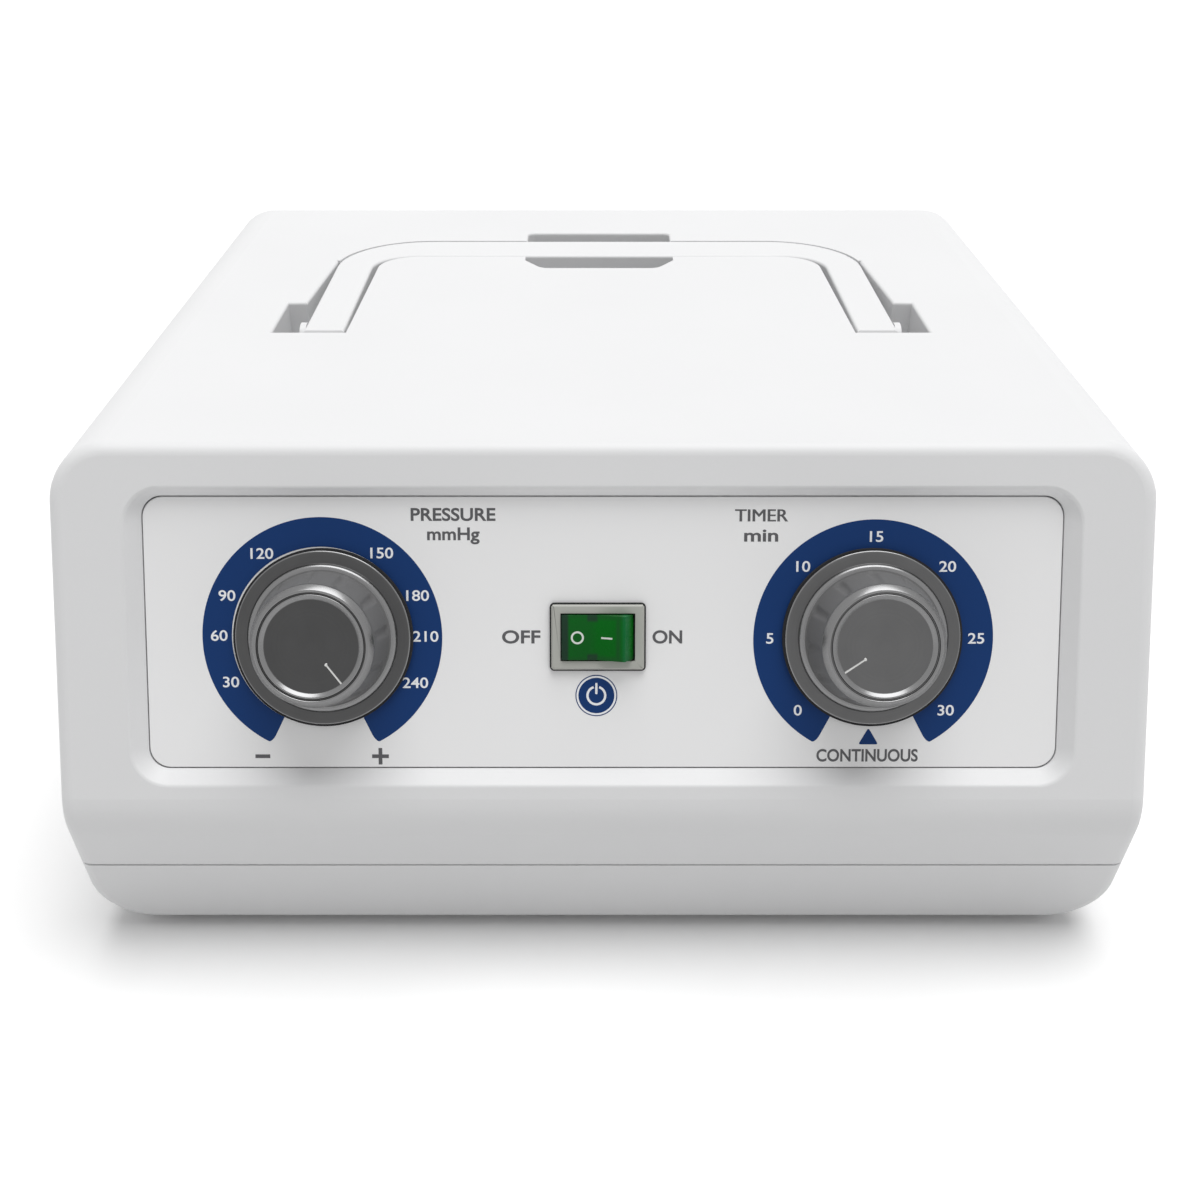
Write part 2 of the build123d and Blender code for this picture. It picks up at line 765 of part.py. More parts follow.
with BuildPart() as handle_pins:
    for side in (-1, 1):
        with BuildSketch(Plane.YZ.offset(side * (arm_inner - handle_inner_gap - pivot_anchor + 1))):
            with Locations((pivot_y, pivot_z)):
                Circle(pivot_radius)
        extrude(amount=side * (arm_outer - arm_inner + handle_inner_gap + pivot_anchor - 1 + pivot_head_gap))
        with BuildSketch(Plane.YZ.offset(side * (arm_outer + pivot_head_gap))):
            with Locations((pivot_y, pivot_z)):
                Circle(pivot_head_radius)
        extrude(amount=side * pivot_head_thickness)
save(handle_pins, "handle_pins")

# ---------------------------------------------------------------- control panel
switch_front = panel_sink - bezel_thickness

with BuildPart() as control_panel:
    with BuildSketch(face_plane(0, panel_middle, panel_back)):
        RectangleRounded(panel_width, panel_height, panel_corner)
    extrude(amount=panel_thickness)
    for dial_x in dial_xs:
        with BuildSketch(face_plane(dial_x, dial_drop, panel_back)):
            Circle(bush_radius)
        extrude(amount=panel_thickness, mode=Mode.SUBTRACT)
    with BuildSketch(face_plane(controls_shift, switch_drop, panel_back)):
        Rectangle(switch_body_width, switch_body_height)
    extrude(amount=panel_thickness, mode=Mode.SUBTRACT)
save(control_panel, "control_panel")

with BuildPart() as panel_overlay:
    with BuildSketch(face_plane(0, panel_middle, panel_front)):
        RectangleRounded(panel_width - 2 * overlay_inset, panel_height - 2 * overlay_inset, panel_corner)
    extrude(amount=overlay_thickness)
    for dial_x in dial_xs:
        with BuildSketch(face_plane(dial_x, dial_drop, panel_front)):
            Circle(bush_radius)
        extrude(amount=overlay_thickness, mode=Mode.SUBTRACT)
    with BuildSketch(face_plane(controls_shift, switch_drop, panel_front)):
        Rectangle(switch_body_width, switch_body_height)
    extrude(amount=overlay_thickness, mode=Mode.SUBTRACT)
save(panel_overlay, "panel_overlay")

# ---------------------------------------------------------------- dials
knob_recess_height = bush_stand + knob_lift
rim_start = knob_height - rim_drop
knob_floor = knob_height - cap_sink - cap_thickness
nut_clearance = 1.4


def make_knob(x):
    """Turned and fluted dial knob on the face at x."""
    base = face_plane(x, dial_drop, panel_sink)
    axial = Plane(origin=base.origin, x_dir=(1, 0, 0), z_dir=face_down)
    with BuildPart() as knob:
        with BuildSketch(axial):
            with BuildLine():
                Polyline(
                    (0, knob_recess_height),
                    (nut_radius + nut_clearance, knob_recess_height),
                    (nut_radius + nut_clearance, knob_lift),
                    (skirt_radius - skirt_round, knob_lift),
                    (skirt_radius, knob_lift + skirt_round),
                    (skirt_radius, knob_lift + skirt_edge),
                    (skirt_radius - skirt_round, knob_lift + skirt_edge + skirt_round),
                    (shoulder_radius + shoulder_bead, shoulder_height - shoulder_bead),
                    (shoulder_radius, shoulder_height),
                    (grip_base_radius, shoulder_height),
                    (grip_top_radius, rim_start),
                    (rim_radius, rim_start + rim_round),
                    (rim_radius, knob_height - rim_round),
                    (rim_radius - rim_round, knob_height),
                    (cap_radius + cap_gap, knob_height),
                    (cap_radius + cap_gap, knob_floor),
                    (0, knob_floor),
                    close=True,
                )
            make_face()
        revolve(axis=Axis(base.origin, face_normal))
        with BuildSketch(base.offset(shoulder_height + rim_round)):
            with PolarLocations(grip_base_radius + flute_radius - flute_depth, flute_count):
                Circle(flute_radius)
        extrude(amount=rim_start - shoulder_height - rim_round, mode=Mode.SUBTRACT)
        with BuildSketch(base.offset(knob_recess_height)):
            add(spindle_section())
        extrude(amount=spindle_bore_depth, mode=Mode.SUBTRACT)
    return knob


def spindle_section():
    """Round spindle with a flat on one side."""
    with BuildSketch(mode=Mode.PRIVATE) as section:
        Circle(spindle_radius)
        with Locations((0, spindle_flat)):
            Rectangle(2 * spindle_radius, spindle_radius, align=(Align.CENTER, Align.MIN), mode=Mode.SUBTRACT)
    return section.sketch


def make_cap(x, pointer):
    """Aluminium cap with its pointer line, pointer degrees clockwise from the top."""
    base = face_plane(x, dial_drop, panel_sink)
    axial = Plane(origin=base.origin, x_dir=(1, 0, 0), z_dir=face_down)
    with BuildPart() as cap:
        with BuildSketch(axial):
            with BuildLine():
                Polyline(
                    (0, knob_floor),
                    (cap_radius, knob_floor),
                    (cap_radius, knob_height - cap_sink - cap_bevel),
                    (cap_radius - cap_bevel, knob_height - cap_sink),
                    (0, knob_height - cap_sink),
                    close=True,
                )
            make_face()
        revolve(axis=Axis(base.origin, face_normal))
        with BuildSketch(base.offset(knob_height - cap_sink - pointer_depth)):
            with PolarLocations(0, 1, start_angle=90 - pointer):
                with Locations((pointer_inner, 0)):
                    Rectangle(cap_radius, pointer_width, align=(Align.MIN, Align.CENTER))
        extrude(amount=2 * pointer_depth, mode=Mode.SUBTRACT)
    return cap


def make_spindle(x, depth):
    """Spindle from inside the control behind the panel, depth below the panel, up into the knob."""
    base = face_plane(x, dial_drop, panel_back + depth)
    with BuildPart() as spindle:
        with BuildSketch(base):
            add(spindle_section())
        extrude(amount=depth + panel_back - panel_sink + knob_recess_height + spindle_bore_depth - 0.5)
    return spindle


pressure_x, timer_x = dial_xs
save(make_knob(pressure_x), "pressure_knob")
save(make_cap(pressure_x, pressure_pointer), "pressure_knob_cap")
save(make_spindle(pressure_x, spindle_tail), "regulator_spindle")
save(make_knob(timer_x), "timer_knob")
save(make_cap(timer_x, -timer_pointer), "timer_knob_cap")
save(make_spindle(timer_x, spindle_tail), "timer_spindle")

with BuildPart() as bush_nuts:
    for dial_x in dial_xs:
        with BuildSketch(face_plane(dial_x, dial_drop, panel_sink)):
            RegularPolygon(nut_radius, 6)
            Circle(bush_radius, mode=Mode.SUBTRACT)
        extrude(amount=nut_thickness)
save(bush_nuts, "bush_nuts")

with BuildPart() as regulator_body:
    with BuildSketch(face_plane(pressure_x, dial_drop, panel_back)):
        Circle(regulator_radius)
    extrude(amount=-regulator_length)
    with BuildSketch(face_plane(pressure_x, dial_drop, panel_back)):
        Circle(bush_radius)
    extrude(amount=panel_back - panel_sink + bush_stand)
    with BuildSketch(face_plane(pressure_x, dial_drop, panel_back + spindle_tail)):
        Circle(spindle_radius + running_gap)
    extrude(amount=spindle_tail + panel_back, mode=Mode.SUBTRACT)
    for side in (-1, 1):
        port = face_plane(pressure_x + side * regulator_port_x, dial_drop, panel_back + regulator_length)
        with BuildSketch(port):
            Circle(nipple_radius)
        extrude(amount=-nipple_length)
save(regulator_body, "regulator_body")

with BuildPart() as timer_body:
    with BuildSketch(face_plane(timer_x, dial_drop, panel_back)):
        RectangleRounded(timer_case_size, timer_case_size, timer_case_corner)
    extrude(amount=-timer_case_length)
    with BuildSketch(face_plane(timer_x, dial_drop, panel_back)):
        Circle(bush_radius)
    extrude(amount=panel_back - panel_sink + bush_stand)
    with BuildSketch(face_plane(timer_x, dial_drop, panel_back + spindle_tail)):
        Circle(spindle_radius + running_gap)
    extrude(amount=spindle_tail + panel_back, mode=Mode.SUBTRACT)
    for side in (-1, 1):
        tab = face_plane(timer_x + side * timer_tab_x, dial_drop, panel_back + timer_case_length)
        with BuildSketch(tab):
            Rectangle(tab_width, tab_thickness)
        extrude(amount=-tab_length)
save(timer_body, "timer_body")

# ---------------------------------------------------------------- rocker switch
rocker_radius = rocker_opening_width / 2 - rocker_gap
rocker_half_height = rocker_opening_height / 2 - rocker_gap

with BuildPart() as switch_body:
    with BuildSketch(face_plane(controls_shift, switch_drop, panel_sink)):
        RectangleRounded(bezel_width, bezel_height, 0.8)
    extrude(amount=bezel_thickness)
    bezel_rims = switch_body.faces().sort_by(Axis(face_corner, face_normal))[-1].edges()
    chamfer(bezel_rims, 0.35)
    with BuildSketch(face_plane(controls_shift, switch_drop, panel_sink)):
        Rectangle(switch_body_width, switch_body_height)
    extrude(amount=-(switch_body_length))
    with BuildSketch(face_plane(controls_shift, switch_drop, switch_front + rocker_well_depth)):
        Rectangle(rocker_opening_width, rocker_opening_height)
    extrude(amount=rocker_well_depth, mode=Mode.SUBTRACT)
    pivot_line = face_plane(controls_shift, switch_drop, switch_front + rocker_pivot_depth)
    with BuildSketch(Plane(origin=pivot_line.origin, x_dir=(1, 0, 0), z_dir=face_down)):
        Circle(rocker_stub_radius + running_gap)
    extrude(amount=rocker_half_height + rocker_gap + rocker_stub_length, both=True, mode=Mode.SUBTRACT)
save(switch_body, "switch_body")

with BuildPart() as switch_rocker:
    side_plane = Plane(origin=pivot_line.origin, x_dir=(1, 0, 0), z_dir=face_down)
    with BuildSketch(side_plane):
        Circle(rocker_radius)
        with BuildLine():
            top = rocker_pivot_depth + rocker_rise
            low = rocker_pivot_depth - rocker_depth
            climb = rocker_radius * tan(radians(rocker_throw))
            Polyline(
                (-rocker_radius, low),
                (rocker_radius, low),
                (rocker_radius, top + climb),
                (0, top),
                (-rocker_radius, top),
                close=True,
            )
        make_face(mode=Mode.INTERSECT)
    extrude(amount=rocker_half_height, both=True)
    with BuildSketch(side_plane):
        Circle(rocker_stub_radius)
    extrude(amount=rocker_half_height + rocker_gap + rocker_stub_length - 0.2, both=True)
save(switch_rocker, "switch_rocker")

with BuildPart() as switch_tabs:
    with BuildSketch(face_plane(controls_shift, switch_drop, panel_sink + switch_body_length)):
        with GridLocations(switch_tab_pitch, switch_tab_pitch, 2, 2):
            Rectangle(tab_thickness, tab_width)
    extrude(amount=-tab_length)
save(switch_tabs, "switch_tabs")

# ---------------------------------------------------------------- rear panel and what it carries
with BuildPart() as rear_panel:
    with BuildSketch(rear_plane(0, rear_z, rear_inner)):
        RectangleRounded(rear_width - 2 * rear_panel_gap, rear_height - 2 * rear_panel_gap, rear_corner)
        with GridLocations(*rear_screws, 2, 2):
            Circle(small_screw_radius + 0.2, mode=Mode.SUBTRACT)
    extrude(amount=rear_panel_thickness)
    with BuildSketch(rear_plane(inlet_x, rear_z, rear_inner)):
        Rectangle(inlet_body_width, inlet_body_height)
        with GridLocations(inlet_screw_spacing, 1, 2, 1):
            Circle(small_screw_radius)
    extrude(amount=rear_panel_thickness, mode=Mode.SUBTRACT)
    with BuildSketch(rear_plane(filter_x, rear_z, rear_inner)):
        Rectangle(filter_opening, filter_opening)
    extrude(amount=rear_panel_thickness, mode=Mode.SUBTRACT)
    for socket_x in socket_xs:
        with BuildSketch(rear_plane(socket_x, rear_z, rear_inner)):
            Rectangle(socket_width - 2 * socket_shelf, socket_height - 2 * socket_shelf)
        extrude(amount=rear_panel_thickness, mode=Mode.SUBTRACT)
save(rear_panel, "rear_panel")

with BuildPart() as rear_panel_screws:
    with BuildSketch(rear_plane(0, rear_z, rear_recess)):
        with GridLocations(*rear_screws, 2, 2):
            Circle(small_screw_radius)
    extrude(amount=-(rear_panel_thickness + wall))
    with BuildSketch(rear_plane(0, rear_z, rear_recess)):
        with GridLocations(*rear_screws, 2, 2):
            Circle(small_head_radius)
            Rectangle(screw_slot_length, screw_slot_width, mode=Mode.SUBTRACT)
            Rectangle(screw_slot_width, screw_slot_length, mode=Mode.SUBTRACT)
    extrude(amount=small_head_height)
save(rear_panel_screws, "rear_panel_screws")

with BuildPart() as mains_inlet:
    with BuildSketch(rear_plane(inlet_x, rear_z, rear_recess)):
        RectangleRounded(inlet_width, inlet_height, inlet_corner)
        with GridLocations(inlet_screw_spacing, 1, 2, 1):
            Circle(small_screw_radius, mode=Mode.SUBTRACT)
    extrude(amount=inlet_flange)
    fillet(mains_inlet.faces().sort_by(Axis.Y)[-1].outer_wire().edges(), 0.8)
    with BuildSketch(rear_plane(inlet_x, rear_z, rear_recess)):
        Rectangle(inlet_body_width, inlet_body_height)
    extrude(amount=-inlet_body_length)
    with BuildSketch(rear_plane(inlet_x, rear_z + inlet_socket_rise, rear_recess - inlet_flange)) as mouth:
        Rectangle(inlet_socket_width, inlet_socket_height)
        chamfer(mouth.vertices().group_by(Axis.Y)[-1], inlet_socket_bevel)
    extrude(amount=-inlet_socket_depth, mode=Mode.SUBTRACT)
    with BuildSketch(rear_plane(inlet_x, rear_z + drawer_rise, rear_recess - inlet_flange)):
        Rectangle(drawer_width + 2 * drawer_gap, drawer_height + 2 * drawer_gap)
    extrude(amount=-(drawer_length + drawer_gap), mode=Mode.SUBTRACT)
save(mains_inlet, "mains_inlet")

with BuildPart() as inlet_contacts:
    pin_root = rear_recess - inlet_flange + inlet_socket_depth
    contact_places = [
        (-inlet_pin_pitch, -inlet_pin_drop),
        (0, inlet_pin_drop),
        (inlet_pin_pitch, -inlet_pin_drop),
    ]
    with BuildSketch(rear_plane(inlet_x, rear_z + inlet_socket_rise, rear_recess + inlet_body_length)):
        with Locations(*contact_places):
            Rectangle(tab_thickness, tab_width)
    extrude(amount=-tab_length)
    with BuildSketch(rear_plane(inlet_x, rear_z + inlet_socket_rise, pin_root)):
        with Locations(*contact_places):
            Rectangle(inlet_pin_width, inlet_pin_height)
    extrude(amount=inlet_socket_depth - inlet_pin_setback)
save(inlet_contacts, "inlet_contacts")

with BuildPart() as inlet_screws:
    with BuildSketch(rear_plane(inlet_x, rear_z, rear_recess - inlet_flange)):
        with GridLocations(inlet_screw_spacing, 1, 2, 1):
            Circle(small_screw_radius)
    extrude(amount=-(inlet_flange + rear_panel_thickness + inlet_screw_tail))
    with BuildSketch(rear_plane(inlet_x, rear_z, rear_recess - inlet_flange)):
        with GridLocations(inlet_screw_spacing, 1, 2, 1):
            Circle(small_head_radius)
            Rectangle(screw_slot_length, screw_slot_width, mode=Mode.SUBTRACT)
            Rectangle(screw_slot_width, screw_slot_length, mode=Mode.SUBTRACT)
    extrude(amount=small_head_height)
save(inlet_screws, "inlet_screws")

drawer_mouth = rear_recess - inlet_flange
with BuildPart() as fuse_drawer:
    with BuildSketch(rear_plane(inlet_x, rear_z + drawer_rise, drawer_mouth)):
        Rectangle(drawer_width, drawer_height)
    extrude(amount=-drawer_length)
    with BuildSketch(rear_plane(inlet_x, rear_z + drawer_rise, drawer_mouth)):
        RectangleRounded(drawer_width, drawer_height, 1)
    extrude(amount=drawer_lip)
    # open-topped bay for the fuse, across the drawer
    with BuildSketch(rear_plane(inlet_x, rear_z + drawer_rise + drawer_floor, drawer_mouth + fuse_bay_start)):
        Rectangle(fuse_length + 2 * fuse_gap, drawer_height)
    extrude(amount=-2 * (fuse_radius + fuse_gap), mode=Mode.SUBTRACT)
save(fuse_drawer, "fuse_drawer")

fuse_z = rear_z + drawer_rise - drawer_height / 2 + drawer_floor + fuse_radius
fuse_y = back_y - drawer_mouth - fuse_bay_start - fuse_gap - fuse_radius
with BuildPart() as fuse:
    with BuildSketch(Plane.YZ.offset(inlet_x)):
        with Locations((fuse_y, fuse_z)):
            Circle(fuse_radius)
    extrude(amount=fuse_length / 2, both=True)
save(fuse, "fuse")

with BuildPart() as filter_cover:
    with BuildSketch(rear_plane(filter_x, rear_z, rear_recess - cover_gap)):
        RectangleRounded(filter_size, filter_size, filter_corner)
    extrude(amount=filter_stand - cover_gap)
    fillet(filter_cover.faces().sort_by(Axis.Y)[-1].edges(), 0.8)
    with BuildSketch(rear_plane(filter_x, rear_z, rear_recess - cover_gap)):
        Rectangle(filter_opening - 2 * filter_gap, filter_opening - 2 * filter_gap)
        Rectangle(filter_opening - 2 * wall, filter_opening - 2 * wall, mode=Mode.SUBTRACT)
    extrude(amount=-rear_panel_thickness)
    with BuildSketch(rear_plane(filter_x, rear_z, rear_recess + rear_panel_thickness)):
        with GridLocations(1, louvre_pitch, 1, louvre_count):
            Rectangle(filter_opening - 2 * wall, louvre_height)
    extrude(amount=rear_panel_thickness + filter_stand + 1, mode=Mode.SUBTRACT)
save(filter_cover, "filter_cover")

with BuildPart() as filter_box:
    with BuildSketch(rear_plane(filter_x, rear_z, rear_inner)):
        Rectangle(filter_size + 2 * filter_box_wall, filter_size + 2 * filter_box_wall)
    extrude(amount=-filter_box_depth)
    with BuildSketch(rear_plane(filter_x, rear_z, rear_inner)):
        Rectangle(filter_size, filter_size)
    extrude(amount=-(filter_box_depth - filter_box_wall), mode=Mode.SUBTRACT)
    with BuildSketch(rear_plane(filter_x, rear_z, rear_inner + filter_box_depth)):
        Circle(nipple_radius)
    extrude(amount=-nipple_length)
    with BuildSketch(rear_plane(filter_x, rear_z, rear_inner + filter_box_depth - 1.5 * filter_box_wall)):
        Circle(nipple_radius / 2)
    extrude(amount=-(nipple_length + 1.5 * filter_box_wall), mode=Mode.SUBTRACT)
save(filter_box, "filter_box")

with BuildPart() as filter_foam:
    with BuildSketch(rear_plane(filter_x, rear_z, rear_inner + filter_box_depth - filter_box_wall)):
        Rectangle(filter_size - 1, filter_size - 1)
    extrude(amount=filter_foam_thickness)
save(filter_foam, "filter_foam")

socket_front = rear_recess - socket_flange
socket_back = rear_recess + socket_body_length


def make_socket(x):
    """Block with six air outlets in two rows of three."""
    with BuildPart() as socket:
        with BuildSketch(rear_plane(x, rear_z, rear_recess)):
            RectangleRounded(socket_width, socket_height, socket_corner)
        extrude(amount=socket_flange)
        fillet(socket.faces().sort_by(Axis.Y)[-1].edges(), 0.8)
        with BuildSketch(rear_plane(x, rear_z, rear_recess)):
            Rectangle(socket_width - 2 * socket_shelf, socket_height - 2 * socket_shelf)
        extrude(amount=-socket_body_length)
        with BuildSketch(rear_plane(x, rear_z, socket_front)):
            with GridLocations(outlet_pitch, outlet_pitch, 3, 2):
                Circle(outlet_radius)
        extrude(amount=outlet_length)
        tips = socket.edges().filter_by(GeomType.CIRCLE).group_by(Axis.Y)[-1]
        chamfer(tips, outlet_tip)
        with BuildSketch(rear_plane(x, rear_z, socket_back)):
            with GridLocations(outlet_pitch, outlet_pitch, 3, 2):
                Circle(outlet_bore)
        extrude(amount=socket_body_length + socket_flange + outlet_length + 1, mode=Mode.SUBTRACT)
    return socket


save(make_socket(socket_xs[0]), "outlet_socket_left")
save(make_socket(socket_xs[1]), "outlet_socket_right")

manifold_x = (socket_xs[0] + socket_xs[1]) / 2
manifold_front_y = back_y - socket_back - manifold_depth
tube_ports = [
    (
        valve_x + port_circle * cos(radians(30 + 60 * index)),
        valve_y + port_circle * sin(radians(30 + 60 * index)),
    )
    for index in range(6)
]


def tube_height(y):
    """Height at which a chamber tube meets the manifold: ports nearest the manifold use the lower row."""
    return rear_z + tube_row_pitch / 2 if y < valve_y else rear_z - tube_row_pitch / 2


with BuildPart() as air_manifold:
    with BuildSketch(rear_plane(manifold_x, rear_z, socket_back)):
        RectangleRounded(manifold_width, manifold_height, 2)
    extrude(amount=-manifold_depth)
    for port_x, port_y in tube_ports:
        with BuildSketch(rear_plane(port_x, tube_height(port_y), socket_back + manifold_depth)):
            Circle(nipple_radius)
        extrude(amount=-nipple_length)
save(air_manifold, "air_manifold")

# ---------------------------------------------------------------- twin-head diaphragm pump
pump_axis_z = plate_z + pump_plate + pump_shaft_rise
bracket_out = pump_width / 2
core_start = armature_thickness / 2 + magnet_thickness + core_air_gap

with BuildPart() as pump_frame:
    with BuildSketch(Plane.XY.offset(plate_z)):
        with Locations((pump_x, pump_y)):
            RectangleRounded(pump_width, pump_depth, 3)
            with GridLocations(2 * mount_xs, 2 * mount_ys, 2, 2):
                Circle(mount_stud_radius + 0.1, mode=Mode.SUBTRACT)
    extrude(amount=pump_plate)
    for side in (-1, 1):
        with BuildSketch(Plane.YZ.offset(pump_x + side * bracket_out)):
            with Locations((pump_y, plate_z + (pump_axis_z + head_size / 2 - plate_z) / 2)):
                Rectangle(head_size, pump_axis_z + head_size / 2 - plate_z)
            with Locations((pump_y, pump_axis_z)):
                Circle(diaphragm_radius - 3, mode=Mode.SUBTRACT)
        extrude(amount=-side * pump_bracket)
    # pedestals under the cores
    with BuildSketch(Plane.XY.offset(plate_z + pump_plate / 2)):
        with Locations((pump_x, pump_y)):
            with GridLocations(
                core_length - 2 * pedestal_inset, 2 * (core_start + core_leg) + core_back, 2, 2
            ):
                Rectangle(pedestal_width, core_back)
    extrude(amount=pump_axis_z - core_height / 2 - plate_z - pump_plate / 2)
save(pump_frame, "pump_frame")

with BuildPart() as pump_cores:
    with BuildSketch(Plane.XY.offset(pump_axis_z - core_height / 2)):
        for side in (-1, 1):
            with Locations((pump_x, pump_y + side * (core_start + core_leg + core_back / 2))):
                Rectangle(core_length, core_back)
            with Locations((pump_x, pump_y + side * (core_start + core_leg / 2))):
                with GridLocations(core_length - core_leg_width, 1, 2, 1):
                    Rectangle(core_leg_width, core_leg)
    extrude(amount=core_height)
save(pump_cores, "pump_cores")

with BuildPart() as pump_coils:
    for side in (-1, 1):
        with BuildSketch(Plane.YZ.offset(pump_x)):
            with Locations((pump_y + side * (core_start + core_leg + core_back / 2), pump_axis_z)):
                RectangleRounded(core_back + 2 * coil_growth, core_height + 2 * coil_growth, coil_growth)
                Rectangle(core_back, core_height, mode=Mode.SUBTRACT)
        extrude(amount=coil_length / 2, both=True)
save(pump_coils, "pump_coils")

piston_middle = bracket_out + diaphragm_thickness / 2
with BuildPart() as pump_armature:
    with BuildSketch(Plane.YZ.offset(pump_x)):
        with Locations((pump_y, pump_axis_z)):
            Rectangle(armature_thickness, armature_height)
    extrude(amount=piston_middle, both=True)
    for side in (-1, 1):
        with BuildSketch(Plane.YZ.offset(pump_x + side * (piston_middle - piston_thickness / 2))):
            with Locations((pump_y, pump_axis_z)):
                Circle(piston_radius)
        extrude(amount=side * piston_thickness)
save(pump_armature, "pump_armature")

with BuildPart() as pump_magnets:
    for side in (-1, 1):
        with BuildSketch(Plane.XY.offset(pump_axis_z - armature_height / 2)):
            with Locations((pump_x, pump_y + side * (armature_thickness + magnet_thickness) / 2)):
                with GridLocations(magnet_length + 2, 1, 2, 1):
                    Rectangle(magnet_length, magnet_thickness)
        extrude(amount=armature_height)
save(pump_magnets, "pump_magnets")

with BuildPart() as pump_diaphragms:
    for side in (-1, 1):
        with BuildSketch(Plane.YZ.offset(pump_x + side * bracket_out)):
            with Locations((pump_y, pump_axis_z)):
                Circle(diaphragm_radius)
                Circle(piston_radius + piston_gap, mode=Mode.SUBTRACT)
        extrude(amount=side * diaphragm_thickness)
save(pump_diaphragms, "pump_diaphragms")


# the supply tube leaves the right head where the regulator's port line reaches the front tube run
regulator_end = face_plane(pressure_x, dial_drop, panel_back + regulator_length).origin
supply_z = regulator_end.Z - (front_tube_y - regulator_end.Y) * tan(radians(face_lean))
head_middle = bracket_out + diaphragm_thickness + head_length / 2


def make_head(side, ports):
    """Valve head clamped over one diaphragm, with a (facing, height) port for each air tube."""
    inner = pump_x + side * bracket_out
    with BuildPart() as head:
        with BuildSketch(Plane.YZ.offset(inner)):
            with Locations((pump_y, pump_axis_z)):
                RectangleRounded(head_size, head_size, 3)
        extrude(amount=side * (head_length + diaphragm_thickness))
        with BuildSketch(Plane.YZ.offset(inner)):
            with Locations((pump_y, pump_axis_z)):
                Circle(diaphragm_radius)
        extrude(amount=side * diaphragm_thickness, mode=Mode.SUBTRACT)
        with BuildSketch(Plane.YZ.offset(inner + side * diaphragm_thickness)):
            with Locations((pump_y, pump_axis_z)):
                Circle(diaphragm_radius - 3)
        extrude(amount=side * head_chamber, mode=Mode.SUBTRACT)
        for facing, port_z in ports:
            port_y = pump_y + facing * head_size / 2
            port = Plane(origin=(pump_x + side * head_middle, port_y, port_z), z_dir=(0, facing, 0))
            with BuildSketch(port.offset(-1)):
                Circle(nipple_radius)
            extrude(amount=nipple_length + 1)
            with BuildSketch(port.offset(-head_chamber)):
                Circle(nipple_radius / 2)
            extrude(amount=nipple_length + 2 * head_chamber, mode=Mode.SUBTRACT)
    return head


save(make_head(-1, [(1, rear_z), (1, cross_port_z)]), "pump_head_left")
save(make_head(1, [(1, cross_port_z), (-1, supply_z)]), "pump_head_right")

with BuildPart() as pump_mounts:
    for mount_x in (pump_x - mount_xs, pump_x + mount_xs):
        for mount_y in (pump_y - mount_ys, pump_y + mount_ys):
            with BuildSketch(Plane(origin=(mount_x, mount_y, 0), x_dir=(1, 0, 0), z_dir=(0, -1, 0))):
                with BuildLine():
                    Polyline(
                        (mount_stud_radius, post_top),
                        (mount_radius, post_top),
                        (mount_radius, post_top + mount_waist),
                        (mount_radius - mount_waist, (post_top + plate_z) / 2),
                        (mount_radius, plate_z - mount_waist),
                        (mount_radius, plate_z),
                        (mount_stud_radius, plate_z),
                        close=True,
                    )
                make_face()
            revolve(axis=Axis((mount_x, mount_y, 0), (0, 0, 1)))
save(pump_mounts, "pump_mounts")

with BuildPart() as pump_screws:
    with BuildSketch(Plane.XY.offset(floor_z + 0.5)):
        with Locations((pump_x, pump_y)):
            with GridLocations(2 * mount_xs, 2 * mount_ys, 2, 2):
                Circle(mount_stud_radius)
    extrude(amount=plate_z + pump_plate - floor_z - 0.5)
    with BuildSketch(Plane.XY.offset(plate_z + pump_plate)):
        with Locations((pump_x, pump_y)):
            with GridLocations(2 * mount_xs, 2 * mount_ys, 2, 2):
                Circle(screw_head_radius)
    extrude(amount=screw_head_height)
save(pump_screws, "pump_screws")

# ---------------------------------------------------------------- rotary distributor
valve_z = motor_z + motor_height
cover_z = valve_z + valve_body_height
with BuildPart() as distributor_motor:
    with BuildSketch(Plane.XY.offset(motor_z)):
        with Locations((valve_x, valve_y)):
            Circle(motor_radius)
    extrude(amount=motor_height)
    with BuildSketch(Plane.XY.offset(valve_z - motor_shaft_depth)):
        with Locations((valve_x, valve_y)):
            Circle(motor_shaft_radius + running_gap)
    extrude(amount=motor_shaft_depth, mode=Mode.SUBTRACT)
    chamfer(distributor_motor.edges().filter_by(GeomType.CIRCLE).group_by(Axis.Z)[0], 1)
save(distributor_motor, "distributor_motor")

with BuildPart() as distributor_body:
    with BuildSketch(Plane.XY.offset(valve_z)):
        with Locations((valve_x, valve_y)):
            Circle(valve_radius)
            Circle(motor_shaft_radius + running_gap, mode=Mode.SUBTRACT)
    extrude(amount=valve_body_height)
    with BuildSketch(Plane.XY.offset(valve_z + valve_cover)):
        with Locations((valve_x, valve_y)):
            Circle(valve_radius - valve_cover)
    extrude(amount=valve_body_height, mode=Mode.SUBTRACT)
    with BuildSketch(Plane.XZ.offset(-(valve_y - valve_radius + 1))):
        with Locations((valve_x, valve_z + valve_body_height / 2)):
            Circle(nipple_radius)
    extrude(amount=nipple_length + 1)
save(distributor_body, "distributor_body")

with BuildPart() as distributor_rotor:
    with BuildSketch(Plane.XY.offset(cover_z - rotor_gap - rotor_thickness)):
        with Locations((valve_x, valve_y)):
            Circle(rotor_radius)
            with Locations((0, -port_circle)):
                Circle(rotor_port_radius, mode=Mode.SUBTRACT)
    extrude(amount=rotor_thickness)
    with BuildSketch(Plane.XY.offset(valve_z - motor_shaft_depth + rotor_gap)):
        with Locations((valve_x, valve_y)):
            Circle(motor_shaft_radius)
    extrude(amount=motor_shaft_depth + valve_body_height - 2 * rotor_gap - 1)
save(distributor_rotor, "distributor_rotor")

